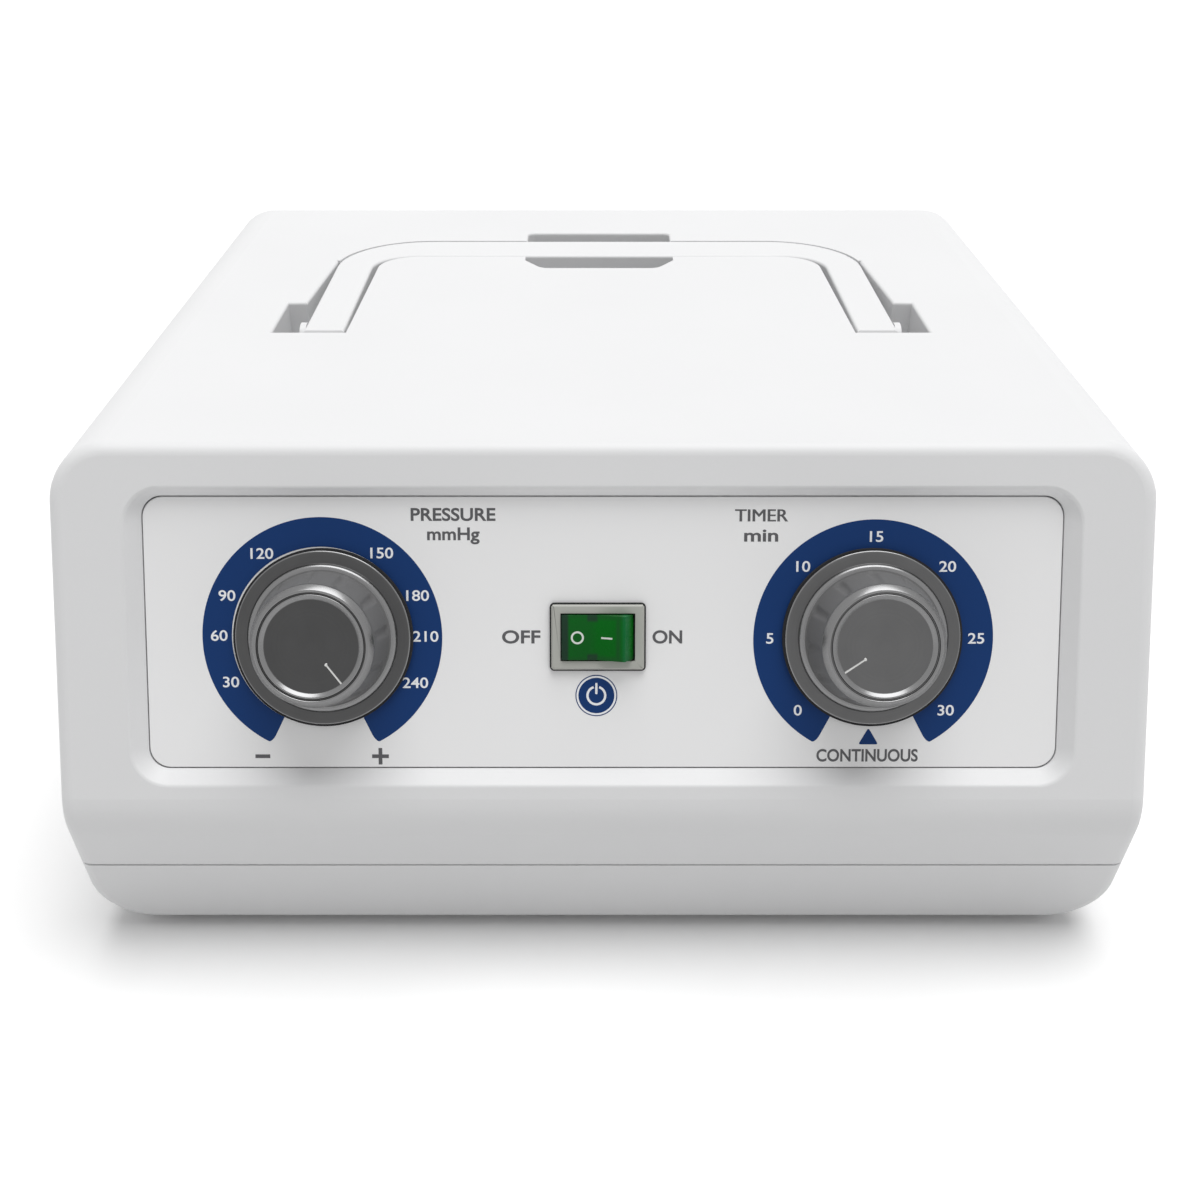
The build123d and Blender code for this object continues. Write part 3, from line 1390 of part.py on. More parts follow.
with BuildPart() as distributor_cover:
    with BuildSketch(Plane.XY.offset(cover_z)):
        with Locations((valve_x, valve_y)):
            Circle(valve_radius)
    extrude(amount=valve_cover)
    with BuildSketch(Plane.XY.offset(cover_z + valve_cover)):
        with Locations(*tube_ports):
            Circle(nipple_radius)
    extrude(amount=nipple_length)
    with BuildSketch(Plane.XY.offset(cover_z)):
        with Locations(*tube_ports):
            Circle(nipple_radius / 2)
    extrude(amount=valve_cover + nipple_length, mode=Mode.SUBTRACT)
save(distributor_cover, "distributor_cover")


def sweep_tube(points):
    """Soft air tube along straight runs joined by round bends, pushed over a nipple at each end."""
    with BuildPart() as tube:
        with BuildLine() as route:
            FilletPolyline(*points, radius=tube_bend)
        with BuildSketch(Plane(origin=route.line @ 0, z_dir=route.line % 0)):
            Circle(tube_radius)
            Circle(nipple_radius, mode=Mode.SUBTRACT)
        sweep()
    return tube


with BuildPart() as chamber_tubes:
    for port_x, port_y in tube_ports:
        end_z = tube_height(port_y)
        run = sweep_tube(
            [
                (port_x, port_y, cover_z + valve_cover),
                (port_x, port_y, end_z),
                (port_x, manifold_front_y, end_z),
            ]
        )
        add(run.part)
save(chamber_tubes, "chamber_tubes")

left_x = pump_x - head_middle
right_x = pump_x + head_middle
head_rear_y = pump_y + head_size / 2
head_front_y = pump_y - head_size / 2
rear_run_y = head_rear_y + rear_tube_run
filter_port_y = back_y - rear_inner - filter_box_depth

intake_tube = sweep_tube(
    [
        (filter_x, filter_port_y, rear_z),
        (filter_x, rear_run_y, rear_z),
        (left_x, rear_run_y, rear_z),
        (left_x, head_rear_y, rear_z),
    ]
)
save(intake_tube, "intake_tube")

cross_tube = sweep_tube(
    [
        (left_x, head_rear_y, cross_port_z),
        (left_x, rear_run_y, cross_port_z),
        (right_x, rear_run_y, cross_port_z),
        (right_x, head_rear_y, cross_port_z),
    ]
)
save(cross_tube, "cross_tube")

supply_x = pressure_x - regulator_port_x
supply_tube = sweep_tube(
    [
        (right_x, head_front_y, supply_z),
        (right_x, front_tube_y, supply_z),
        (supply_x, front_tube_y, supply_z),
        (supply_x, regulator_end.Y, regulator_end.Z),
    ]
)
save(supply_tube, "supply_tube")

# the regulated line runs in front of the supply line and falls towards the distributor
regulated_x = pressure_x + regulator_port_x
regulated_y = front_tube_y - front_tube_spacing
regulated_z = supply_z + front_tube_spacing * tan(radians(face_lean))
valve_port_z = valve_z + valve_body_height / 2
regulated_tube = sweep_tube(
    [
        (regulated_x, regulator_end.Y, regulator_end.Z),
        (regulated_x, regulated_y, regulated_z),
        (valve_x, regulated_y, valve_port_z),
        (valve_x, valve_y - valve_radius, valve_port_z),
    ]
)
save(regulated_tube, "regulated_tube")

# ---------------------------------------------------------------- control board
board_top = board_z + board_thickness

with BuildPart() as control_board:
    with BuildSketch(Plane.XY.offset(board_z)):
        with Locations((0, board_y)):
            Rectangle(board_width, board_depth)
            with GridLocations(*board_holes, 2, 2):
                Circle(small_screw_radius, mode=Mode.SUBTRACT)
    extrude(amount=board_thickness)
save(control_board, "control_board")

with BuildPart() as board_screws:
    with BuildSketch(Plane.XY.offset(board_top)):
        with Locations((0, board_y)):
            with GridLocations(*board_holes, 2, 2):
                Circle(small_screw_radius)
    extrude(amount=-(board_thickness + board_rise / 2))
    with BuildSketch(Plane.XY.offset(board_top)):
        with Locations((0, board_y)):
            with GridLocations(*board_holes, 2, 2):
                Circle(small_head_radius)
    extrude(amount=small_head_height)
save(board_screws, "board_screws")

with BuildPart() as board_transformer:
    with BuildSketch(Plane.XY.offset(board_top)):
        with Locations((transformer_x, board_y)):
            Rectangle(transformer_size, transformer_depth)
    extrude(amount=transformer_height)
    with BuildSketch(Plane.XY.offset(board_top + winding_lift)):
        with Locations((transformer_x, board_y)):
            RectangleRounded(winding_width, transformer_depth + 2 * winding_growth, winding_corner)
    extrude(amount=transformer_height - 2 * winding_lift)
save(board_transformer, "board_transformer")

with BuildPart() as board_capacitors:
    with BuildSketch(Plane.XY.offset(board_top)):
        with Locations((capacitor_x, board_y)):
            with GridLocations(1, capacitor_pitch, 1, 2):
                Circle(capacitor_radius)
    extrude(amount=capacitor_height)
    fillet(board_capacitors.edges().group_by(Axis.Z)[-1], capacitor_round)
save(board_capacitors, "board_capacitors")

with BuildPart() as board_relay:
    with BuildSketch(Plane.XY.offset(board_top)):
        with Locations((relay_x, board_y)):
            Rectangle(relay_width, relay_depth)
    extrude(amount=relay_height)
save(board_relay, "board_relay")

with BuildPart() as board_terminals:
    with BuildSketch(Plane.XY.offset(board_top)):
        with Locations((terminal_x, board_y)):
            Rectangle(terminal_depth, terminal_length)
    extrude(amount=terminal_height)
    with BuildSketch(Plane.XY.offset(board_top + terminal_height)):
        with Locations((terminal_x, board_y)):
            with GridLocations(1, terminal_pitch, 1, terminal_count):
                Circle(terminal_screw_radius)
    extrude(amount=-1, mode=Mode.SUBTRACT)
save(board_terminals, "board_terminals")
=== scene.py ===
"""The looks of a table-top compression therapy pump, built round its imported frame.

The frame holds every rigid piece at its real size and place. This script gives those pieces their finishes,
models the dial knobs, the printed control panel and the switch's marks, and sets up a plain studio.
Lengths are in metres in the frame's own axes: +X to the right, +Y to the back, +Z up.
"""

import json
import logging
import math
from dataclasses import dataclass
from enum import Enum
from typing import Any, Callable, Iterable, Mapping, Sequence, Union

import bmesh
import bpy
from mathutils import Matrix, Vector


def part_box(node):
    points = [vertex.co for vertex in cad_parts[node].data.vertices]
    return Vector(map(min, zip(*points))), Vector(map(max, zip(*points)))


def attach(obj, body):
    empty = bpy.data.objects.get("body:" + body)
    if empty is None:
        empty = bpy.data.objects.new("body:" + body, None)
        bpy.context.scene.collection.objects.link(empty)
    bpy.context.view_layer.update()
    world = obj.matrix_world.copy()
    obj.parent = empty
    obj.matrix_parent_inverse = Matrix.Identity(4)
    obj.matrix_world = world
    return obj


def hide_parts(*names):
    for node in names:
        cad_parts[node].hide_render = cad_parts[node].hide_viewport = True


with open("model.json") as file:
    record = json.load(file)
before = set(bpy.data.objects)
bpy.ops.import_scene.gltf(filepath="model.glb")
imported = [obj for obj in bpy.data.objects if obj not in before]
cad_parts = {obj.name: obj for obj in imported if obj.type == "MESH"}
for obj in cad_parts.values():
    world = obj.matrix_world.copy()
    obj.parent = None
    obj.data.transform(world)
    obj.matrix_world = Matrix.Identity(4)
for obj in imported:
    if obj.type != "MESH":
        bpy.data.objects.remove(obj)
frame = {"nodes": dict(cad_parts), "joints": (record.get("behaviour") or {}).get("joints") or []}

log = logging.getLogger("pump")
MM = 0.001
Colour = tuple[float, float, float]
Pair = tuple[float, float]
Piece = bpy.types.Object
Material = bpy.types.Material
JOINTS: dict[str, dict[str, Any]] = {joint["name"]: joint for joint in frame["joints"]}


# ---------------------------------------------------------------- shader maths
def _operator(operation: str, swapped: bool = False) -> Callable[["Sock", "Value"], "Sock"]:
    """Makes an arithmetic method out of one Math operation.

    Args:
        operation: Blender's name of the operation.
        swapped: True where the socket is the second operand.

    Returns:
        The method.
    """

    def method(self: "Sock", other: "Value") -> "Sock":
        """Adds the Math node."""
        return self._math(operation, *((other, self) if swapped else (self, other)))

    return method


class Sock:
    """One output socket whose arithmetic adds Math nodes to its tree."""

    def __init__(self, tree: "NodeTree", socket: bpy.types.NodeSocket) -> None:
        """Wraps a socket of the given tree."""
        self.tree = tree
        self.socket = socket

    def _math(self, operation: str, *operands: "Value") -> "Sock":
        """Adds one Math node with those operands and returns its result."""
        node = self.tree.node("ShaderNodeMath", {"operation": operation}, dict(enumerate(operands)))
        return Sock(self.tree, node.outputs[0])

    __add__, __radd__ = _operator("ADD"), _operator("ADD", swapped=True)
    __sub__, __rsub__ = _operator("SUBTRACT"), _operator("SUBTRACT", swapped=True)
    __mul__, __rmul__ = _operator("MULTIPLY"), _operator("MULTIPLY", swapped=True)

    def __abs__(self) -> "Sock":
        """The size of self without its sign."""
        return self._math("ABSOLUTE", self)

    def root(self) -> "Sock":
        """Square root."""
        return self._math("SQRT", self)

    def wave(self, length: float) -> "Sock":
        """A ripple from 0 to 1 that repeats every length."""
        return self._math("SINE", self * (math.tau / length)) * 0.5 + 0.5

    def peak(self, other: "Value") -> "Sock":
        """The larger of self and other."""
        return self._math("MAXIMUM", self, other)

    def ease(self, low: float, high: float) -> "Sock":
        """Smooth step from 0 at low to 1 at high.

        Args:
            low: value at which the result is 0.
            high: value at which the result is 1, above or below low.

        Returns:
            The eased value.
        """
        inputs = {"Value": self, "From Min": low, "From Max": high}
        node = self.tree.node("ShaderNodeMapRange", {"interpolation_type": "SMOOTHSTEP"}, inputs)
        return Sock(self.tree, node.outputs["Result"])

    def band(self, low: float, high: float, soft: float) -> "Sock":
        """1 between low and high and 0 outside, with soft edges."""
        return self.ease(low - soft, low + soft) * self.ease(high + soft, high - soft)


Value = Union[Sock, bpy.types.NodeSocket, float, Sequence[float]]


class NodeTree:
    """A node tree that is filled through one method."""

    def __init__(self, tree: bpy.types.NodeTree) -> None:
        """Empties the tree and takes it over."""
        self.tree = tree
        self.tree.nodes.clear()

    def node(
        self,
        kind: str,
        settings: Mapping[str, Any] | None = None,
        inputs: Mapping[str | int, Value] | None = None,
    ) -> bpy.types.Node:
        """Adds one node.

        Args:
            kind: the node's Blender type.
            settings: its properties, set before its sockets.
            inputs: values or links of its sockets, by name or number.

        Returns:
            The new node.
        """
        node = self.tree.nodes.new(kind)
        for key, value in (settings or {}).items():
            setattr(node, key, value)
        for key, value in (inputs or {}).items():
            self.plug(node.inputs[key], value)
        return node

    def plug(self, socket: bpy.types.NodeSocket, value: Value) -> None:
        """Links or sets one input socket.

        Args:
            socket: the input.
            value: a socket to link, or a constant; a colour of three numbers gets an alpha of 1.
        """
        if isinstance(value, Sock):
            self.tree.links.new(value.socket, socket)
        elif isinstance(value, bpy.types.NodeSocket):
            self.tree.links.new(value, socket)
        elif socket.type == "RGBA" and len(value) == 3:
            socket.default_value = (*value, 1.0)
        else:
            socket.default_value = value

    def light_path(self) -> Sock:
        """Tells the rays that show the background from the others.

        Returns:
            1 for camera, glossy and transmission rays, 0 for the others.
        """
        path = self.node("ShaderNodeLightPath")
        kinds = ("Is Camera Ray", "Is Glossy Ray", "Is Transmission Ray")
        seen = [Sock(self, path.outputs[name]) for name in kinds]
        return seen[0].peak(seen[1]).peak(seen[2])


def shade(colour: Colour, factor: float) -> Colour:
    """A colour made darker or lighter by one factor."""
    return (colour[0] * factor, colour[1] * factor, colour[2] * factor)


class Shader(NodeTree):
    """One material under construction round a single Principled surface."""

    def __init__(self, name: str) -> None:
        """Starts a material.

        Args:
            name: the material's name.
        """
        self.material = bpy.data.materials.new(name)
        self.material.use_nodes = True
        super().__init__(self.material.node_tree)
        self.surface = self.node("ShaderNodeBsdfPrincipled")
        self.node("ShaderNodeOutputMaterial", inputs={"Surface": self.surface.outputs[0]})

    def place(self, seat: Matrix | None = None) -> bpy.types.NodeSocket:
        """Object coordinates, measured from a seat's own axes where one is given.

        Args:
            seat: the axes, or None for the object's own.

        Returns:
            The coordinates' socket.
        """
        place = self.node("ShaderNodeTexCoord").outputs["Object"]
        if seat is None:
            return place
        inputs = {"Vector": place, "Location": seat.translation, "Rotation": seat.to_euler()}
        return self.node("ShaderNodeMapping", {"vector_type": "TEXTURE"}, inputs).outputs[0]

    def axes(self, place: bpy.types.NodeSocket) -> tuple[Sock, Sock, Sock]:
        """The three coordinates of a place."""
        parts = self.node("ShaderNodeSeparateXYZ", inputs={"Vector": place}).outputs
        return Sock(self, parts[0]), Sock(self, parts[1]), Sock(self, parts[2])

    def noise(self, place: Value, size: float, detail: float = 2.0) -> Sock:
        """Cloudy variation from 0 to 1 with lumps of that size."""
        inputs = {"Vector": place, "Scale": 1 / size, "Detail": detail}
        return Sock(self, self.node("ShaderNodeTexNoise", inputs=inputs).outputs[0])

    def lines(self, along: Sock, size: float) -> Sock:
        """Random fine lines from 0 to 1 across one coordinate."""
        inputs = {"W": along, "Scale": 1 / size, "Detail": 3.0}
        return Sock(self, self.node("ShaderNodeTexNoise", {"noise_dimensions": "1D"}, inputs).outputs[0])

    def cells(self, place: Value, size: float) -> Sock:
        """Distance from the nearest of many scattered points, for pores and flecks."""
        inputs = {"Vector": place, "Scale": 1 / size}
        return Sock(self, self.node("ShaderNodeTexVoronoi", inputs=inputs).outputs["Distance"])

    def blend(self, share: Value, first: Value, second: Value) -> Sock:
        """Mixes two colours or colour sockets: share 0 gives the first and 1 the second."""
        node = self.node("ShaderNodeMix", {"data_type": "RGBA"}, {0: share, 6: first, 7: second})
        return Sock(self, node.outputs[2])

    def tint(self, share: Value, colour: Colour, low: float, high: float) -> Sock:
        """Mixes two shades of one colour, low and high being their factors."""
        return self.blend(share, shade(colour, low), shade(colour, high))

    def feed(self, **values: Value) -> None:
        """Sets or links the surface's sockets; Base_Color stands for Base Color."""
        for name, value in values.items():
            self.plug(self.surface.inputs[name.replace("_", " ")], value)

    def relief(self, height: Value, depth: float) -> None:
        """Presses a height from 0 to 1 into the surface to that depth."""
        inputs = {"Height": height, "Distance": depth, "Strength": 1.0}
        self.feed(Normal=self.node("ShaderNodeBump", inputs=inputs).outputs[0])


# ---------------------------------------------------------------- finishes
@dataclass(frozen=True)
class Finish:
    """A named finish, which each kind paints in its own way."""

    name: str

    def make(self) -> Material:
        """Builds the material.

        Returns:
            The material.
        """
        shader = Shader(self.name)
        self.paint(shader)
        return shader.material

    def paint(self, shader: Shader) -> None:
        """Feeds the shader's surface."""
        raise NotImplementedError


@dataclass(frozen=True)
class Grained(Finish):
    """A cloudy tone with a fine relief, as mouldings, prints, rubber and plated or cast metal have.

    tones holds the factors of the colour's darkest and palest places. cloud and grain hold the size and the
    detail of the two noises. mix is the cloud's share in the tone, and depth is the relief's. rough holds
    the roughness, then what the cloud and the grain add to it.
    """

    colour: Colour
    tones: Pair
    cloud: Pair
    grain: Pair
    depth: float
    rough: tuple[float, float, float]
    mix: float = 1.0
    metallic: float = 0.0
    ior: float = 1.5
    specular: float = 0.5

    def paint(self, shader: Shader) -> None:
        """Feeds the shader's surface.

        Args:
            shader: the material under construction.
        """
        place = shader.place()
        cloud, grain = shader.noise(place, *self.cloud), shader.noise(place, *self.grain)
        base, by_cloud, by_grain = self.rough
        shader.feed(
            Base_Color=shader.tint(cloud * self.mix + grain * (1 - self.mix), self.colour, *self.tones),
            Roughness=base + cloud * by_cloud + grain * by_grain,
            Metallic=self.metallic,
            Specular_IOR_Level=self.specular,
            IOR=self.ior,
        )
        shader.relief(grain, self.depth)


def plastic(
    name: str, colour: Colour, rough: float = 0.46, drift: float = 0.03, depth: float = 0.006 * MM
) -> Grained:
    """Moulded plastic with a fine eroded grain and a slow drift of tone."""
    tones, roughness = (1 - drift, 1 + drift), (rough - 0.05, 0.06, 0.05)
    return Grained(name, colour, tones, (55 * MM, 3.0), (0.6 * MM, 3.0), depth, roughness, 0.75, ior=1.47)


def film(name: str, colour: Colour) -> Grained:
    """Matt polyester film with a soft pebble texture."""
    cloud, pebble, roughness = (40 * MM, 2.0), (0.35 * MM, 1.0), (0.5, 0.0, 0.12)
    return Grained(name, colour, (0.985, 1.01), cloud, pebble, 0.004 * MM, roughness, ior=1.45)


def ink(name: str, colour: Colour, rough: float = 0.45, gloss: float = 0.5) -> Grained:
    """Screen-printed ink: dense and slightly uneven."""
    cloud, mesh_mark, roughness = (12 * MM, 2.0), (0.25 * MM, 1.0), (rough, 0.0, 0.08)
    return Grained(name, colour, (0.93, 1.07), cloud, mesh_mark, 0.002 * MM, roughness, 0.5, 0.0, 1.45, gloss)


def rubber(name: str, colour: Colour, rough: float = 0.68) -> Grained:
    """Soft rubber or silicone with a dusty bloom."""
    bloom, fine, roughness = (6 * MM, 4.0), (0.4 * MM, 2.0), (rough - 0.06, 0.12, 0.0)
    return Grained(name, colour, (0.85, 1.2), bloom, fine, 0.01 * MM, roughness)


def plated(name: str, colour: Colour, rough: float = 0.3) -> Grained:
    """Plated or turned small metal parts with a faint haze."""
    haze, scratch, roughness = (3 * MM, 4.0), (0.3 * MM, 2.0), (rough - 0.06, 0.12, 0.0)
    return Grained(name, colour, (0.88, 1.08), haze, scratch, 0.004 * MM, roughness, metallic=1.0)


def cast(name: str, colour: Colour) -> Grained:
    """Die-cast alloy with a sandy skin."""
    stain, sand, roughness = (14 * MM, 3.0), (0.9 * MM, 5.0), (0.42, 0.0, 0.2)
    return Grained(name, colour, (0.85, 1.1), stain, sand, 0.03 * MM, roughness, metallic=0.9)


@dataclass(frozen=True)
class TurnedMetal(Finish):
    """Dial metal turned on a lathe: satin faces with fine rings, a blasted grip, and bands of polish whose
    paler colour is painted sheen.
    """

    seat: Matrix
    satin: float
    beads: Sequence[Pair]
    grip: Pair | None = None
    # Colour of the bands of polish, paler than the satin: painted sheen. Their lower roughness is real
    # polish.
    polished: float = 0.21
    grip_tone: float = 0.15

    def paint(self, shader: Shader) -> None:
        """Feeds the shader's surface; the bands of polish and the grip are ranges of the radius from the
        seat's axis.

        Args:
            shader: the material under construction.
        """
        place = shader.place(self.seat)
        across, up, _ = shader.axes(place)
        radius = (across * across + up * up).root()
        rings = shader.lines(radius, 0.5 * MM)
        smear = shader.noise(place, 7 * MM, 3.0)
        # Mask of the bands of polish: real polish in the roughness, painted sheen in the paler colour.
        polish_and_sheen: Sock | float = 0.0
        for low, high in self.beads:
            polish_and_sheen = radius.band(low, high, 0.12 * MM) + polish_and_sheen
        worn = shader.tint(rings * 0.2 + smear * 0.8, self.grey(self.satin), 0.86, 1.14)
        # Painted sheen: the bands of polish are coloured paler than the satin.
        colour = shader.blend(polish_and_sheen, worn, self.grey(self.polished))
        metallic: Sock | float = 1.0
        roughness = 0.34 - polish_and_sheen * 0.12 + smear * 0.06
        if self.grip:
            blasted = radius.band(*self.grip, 0.1 * MM)
            colour = shader.blend(blasted, colour, self.grey(self.grip_tone))
            metallic = 1.0 - blasted * 0.92
            roughness = roughness + blasted * 0.2
        shader.feed(Base_Color=colour, Metallic=metallic, Roughness=roughness, Specular_IOR_Level=0.15)
        shader.relief(rings, 0.002 * MM)

    @staticmethod
    def grey(tone: float) -> Colour:
        """Neutral metal colour of that tone."""
        return (tone, tone, 1.01 * tone)


@dataclass(frozen=True)
class TintedPlastic(Finish):
    """Deep tinted rocker plastic with dark pivot lugs; painted shade on its hollow left end, its pressed left
    half and a band before the raised end; darker towards its upper and lower edges; and a painted highlight
    on the raised end's curved face.
    """

    seat: Matrix
    lit: Colour
    deep: Colour
    pale: Colour
    half_width: float
    half_height: float

    def paint(self, shader: Shader) -> None:
        """Feeds the shader's surface; its zones are shares of the rocker's half width and height.

        Args:
            shader: the material under construction.
        """
        place = shader.place(self.seat)
        across, up, _ = shader.axes(place)
        wide, tall = self.half_width, self.half_height
        # Painted shade: the hollow left end, the pressed left half and a band before the raised end.
        hollow_end_shade = (across * -1.0).ease(0.76 * wide, 0.86 * wide)
        pressed_half_shade = (across * -1.0).ease(-0.1 * wide, 0.3 * wide)
        end_edge_shade = across.band(0.5 * wide, 0.62 * wide, 0.05 * wide)
        # Painted highlight: a paler band on the raised end's curved face.
        end_highlight = across.band(0.68 * wide, 0.86 * wide, 0.06 * wide)
        rail = abs(up).ease(0.7 * tall, 0.95 * tall)
        lug = abs(across + 1.2 * MM).ease(1.6 * MM, 0.8 * MM) * abs(up).ease(0.6 * tall, 0.82 * tall)
        # Dark mask: the painted shade, the darker upper and lower edges and the dark pivot lugs.
        dark = hollow_end_shade.peak(end_edge_shade * 0.4).peak(rail * 0.4).peak(lug * 0.9).peak(pressed_half_shade * 0.25)
        cloud = shader.noise(place, 2.5 * MM)
        body = shader.blend(dark + cloud * 0.16 - 0.08, self.lit, self.deep)
        shader.feed(
            Base_Color=shader.blend(end_highlight * 0.7, body, self.pale),
            Roughness=0.24 + cloud * 0.08,
            Specular_IOR_Level=0.06,
            Coat_Weight=0.04,
            Coat_Roughness=0.1,
            IOR=1.5,
        )
        shader.relief(shader.noise(place, 0.8 * MM), 0.003 * MM)


class Stack(Enum):
    """The frame axis across which sheets or wires are stacked."""

    ALONG_X = 0
    ALONG_Z = 2


@dataclass(frozen=True)
class StackedMetal(Finish):
    """Laminated iron or wound wire: fine even lines across one axis."""

    colour: Colour
    stack: Stack
    pitch: float
    roughness: float = 0.4
    metallic: float = 0.85

    def paint(self, shader: Shader) -> None:
        """Feeds the shader's surface.

        Args:
            shader: the material under construction.
        """
        place = shader.place()
        line = shader.axes(place)[self.stack.value].wave(self.pitch)
        cloud = shader.noise(place, 5 * MM, 3.0)
        shader.feed(
            Base_Color=shader.tint(line * 0.6 + cloud * 0.4, self.colour, 0.55, 1.2),
            Metallic=self.metallic,
            Roughness=self.roughness + cloud * 0.15 - 0.07,
        )
        shader.relief(line, 0.25 * self.pitch)


@dataclass(frozen=True)
class VarnishedBoard(Finish):
    """Varnished circuit board with copper lines under the green."""

    colour: Colour
    line_pitch: float = 2.54 * MM

    def paint(self, shader: Shader) -> None:
        """Feeds the shader's surface.

        Args:
            shader: the material under construction.
        """
        place = shader.place()
        across, along, _ = shader.axes(place)
        bend = shader.noise(place, 16 * MM) * 6 * MM
        tracks = (across + bend).wave(self.line_pitch).ease(0.62, 0.72)
        links = (along + bend).wave(3 * self.line_pitch).ease(0.8, 0.86)
        copper = tracks.peak(links)
        shader.feed(
            Base_Color=shader.tint(copper, self.colour, 1.0, 2.0),
            Roughness=0.3 + shader.noise(place, 4 * MM) * 0.1,
            IOR=1.5,
        )
        shader.relief(copper, 0.035 * MM)


@dataclass(frozen=True)
class OpenFoam(Finish):
    """Open-cell foam."""

    colour: Colour

    def paint(self, shader: Shader) -> None:
        """Feeds the shader's surface.

        Args:
            shader: the material under construction.
        """
        pores = shader.cells(shader.place(), 0.9 * MM)
        shader.feed(Base_Color=shader.tint(pores, self.colour, 0.35, 1.5), Roughness=0.85 + pores * 0.1)
        shader.relief(pores, 0.4 * MM)


@dataclass(frozen=True)
class ClearGlass(Finish):
    """Clear glass tube."""

    def paint(self, shader: Shader) -> None:
        """Feeds the shader's surface.

        Args:
            shader: the material under construction.
        """
        haze = shader.noise(shader.place(), 3 * MM)
        shader.feed(
            Base_Color=shader.blend(haze, (0.9, 0.93, 0.93), (0.97, 0.98, 0.98)),
            Roughness=0.03 + haze * 0.04,
            IOR=1.5,
            Transmission_Weight=0.9,
        )


# ---------------------------------------------------------------- modelling bench
class Start(Enum):
    """The primitives that pieces start from."""

    CIRCLE = "circle"
    PLANE = "plane"


Region = Callable[[Vector], bool]
Move = tuple[Region, Sequence[float]]


class Bench:
    """Selection, edit mode and the few operators that every piece uses."""

    @staticmethod
    def take(piece: Piece) -> Piece:
        """Selects one object alone and makes it active.

        Args:
            piece: the object.

        Returns:
            The same object.
        """
        bpy.ops.object.select_all(action="DESELECT")
        piece.select_set(True)
        bpy.context.view_layer.objects.active = piece
        return piece

    @staticmethod
    def open(piece: Piece) -> None:
        """Takes a piece into edit mode with all of it selected.

        Args:
            piece: the object.
        """
        Bench.take(piece)
        bpy.ops.object.mode_set(mode="EDIT")
        bpy.ops.mesh.select_all(action="SELECT")

    @staticmethod
    def start(kind: Start, name: str, **sizes: Any) -> Piece:
        """Adds a primitive and leaves it in edit mode with all of it selected.

        Args:
            kind: which primitive.
            name: the new piece's name.
            sizes: the operator's own sizes.

        Returns:
            The new object.
        """
        bpy.ops.object.select_all(action="DESELECT")
        if kind is Start.CIRCLE:
            bpy.ops.mesh.primitive_circle_add(**sizes)
        else:
            bpy.ops.mesh.primitive_plane_add(**sizes)
        piece = bpy.context.active_object
        piece.name = piece.data.name = name
        bpy.ops.object.mode_set(mode="EDIT")
        return piece

    @staticmethod
    def pick(piece: Piece, wanted: Region) -> None:
        """Selects some vertices of the edited mesh and nothing else.

        Args:
            piece: the object in edit mode.
            wanted: says of a vertex's place whether to select it.
        """
        bpy.ops.mesh.select_mode(type="VERT")
        mesh = bmesh.from_edit_mesh(piece.data)
        for vertex in mesh.verts:
            vertex.select = wanted(vertex.co)
        mesh.select_flush_mode()
        bmesh.update_edit_mesh(piece.data)

    @staticmethod
    def shift(piece: Piece, seat: Matrix, moves: Iterable[Move]) -> None:
        """Moves groups of a piece's vertices, one group after the other.

        Args:
            piece: the object.
            seat: the axes in which the groups and their ways are given.
            moves: for each group, which places it holds and the way it goes.
        """
        local, axes = seat.inverted(), seat.to_3x3()
        Bench.open(piece)
        for wanted, way in moves:
            Bench.pick(piece, lambda co: wanted(local @ co))
            bpy.ops.transform.translate(value=axes @ Vector(way))
        bpy.ops.object.mode_set(mode="OBJECT")

    @staticmethod
    def resize(x: float, y: float, centre: Sequence[float] = (0, 0, 0)) -> None:
        """Resizes what is selected across X and Y, about a centre."""
        bpy.ops.transform.resize(value=(x, y, 1), center_override=centre)

    @staticmethod
    def extrude(rise: float) -> None:
        """Extrudes what is selected along Z."""
        bpy.ops.mesh.extrude_region_move(TRANSFORM_OT_translate={"value": (0, 0, rise)})

    @staticmethod
    def leave(piece: Piece) -> Piece:
        """Merges doubles, makes the normals point outwards and returns to object mode.

        Args:
            piece: the object in edit mode.

        Returns:
            The same object.
        """
        bpy.ops.mesh.select_all(action="SELECT")
        bpy.ops.mesh.remove_doubles(threshold=0.0005 * MM)
        bpy.ops.mesh.normals_make_consistent(inside=False)
        bpy.ops.object.mode_set(mode="OBJECT")
        return piece

    @staticmethod
    def apply(piece: Piece, kind: str, **settings: Any) -> None:
        """Adds one modifier and applies it.

        Args:
            piece: the object.
            kind: Blender's name of the modifier.
            settings: the modifier's properties.
        """
        Bench.take(piece)
        modifier = piece.modifiers.new(kind.title(), kind)
        for key, value in settings.items():
            setattr(modifier, key, value)
        bpy.ops.object.modifier_apply(modifier=modifier.name)

    @staticmethod
    def seat(piece: Piece, seat: Matrix) -> Piece:
        """Puts a piece at its seat and works the place into its mesh.

        Args:
            piece: the object, made round the origin.
            seat: where it goes.

        Returns:
            The same object.
        """
        Bench.take(piece)
        piece.matrix_world = seat @ piece.matrix_world
        bpy.ops.object.transform_apply(location=True, rotation=True, scale=True)
        return piece

    @staticmethod
    def join(pieces: Sequence[Piece], name: str) -> Piece:
        """Joins pieces into one mesh.

        Args:
            pieces: the objects, one or more.
            name: the joined piece's name.

        Returns:
            The joined piece.
        """
        Bench.take(pieces[0])
        for piece in pieces[1:]:
            piece.select_set(True)
        bpy.ops.object.join()
        pieces[0].name = pieces[0].data.name = name
        return pieces[0]

    @staticmethod
    def smooth(piece: Piece, degrees: float) -> Piece:
        """Shades a piece smooth.

        Args:
            piece: the object.
            degrees: the angle above which an edge stays sharp.

        Returns:
            The same object.
        """
        Bench.take(piece)
        bpy.ops.object.shade_smooth_by_angle(angle=math.radians(degrees))
        return piece

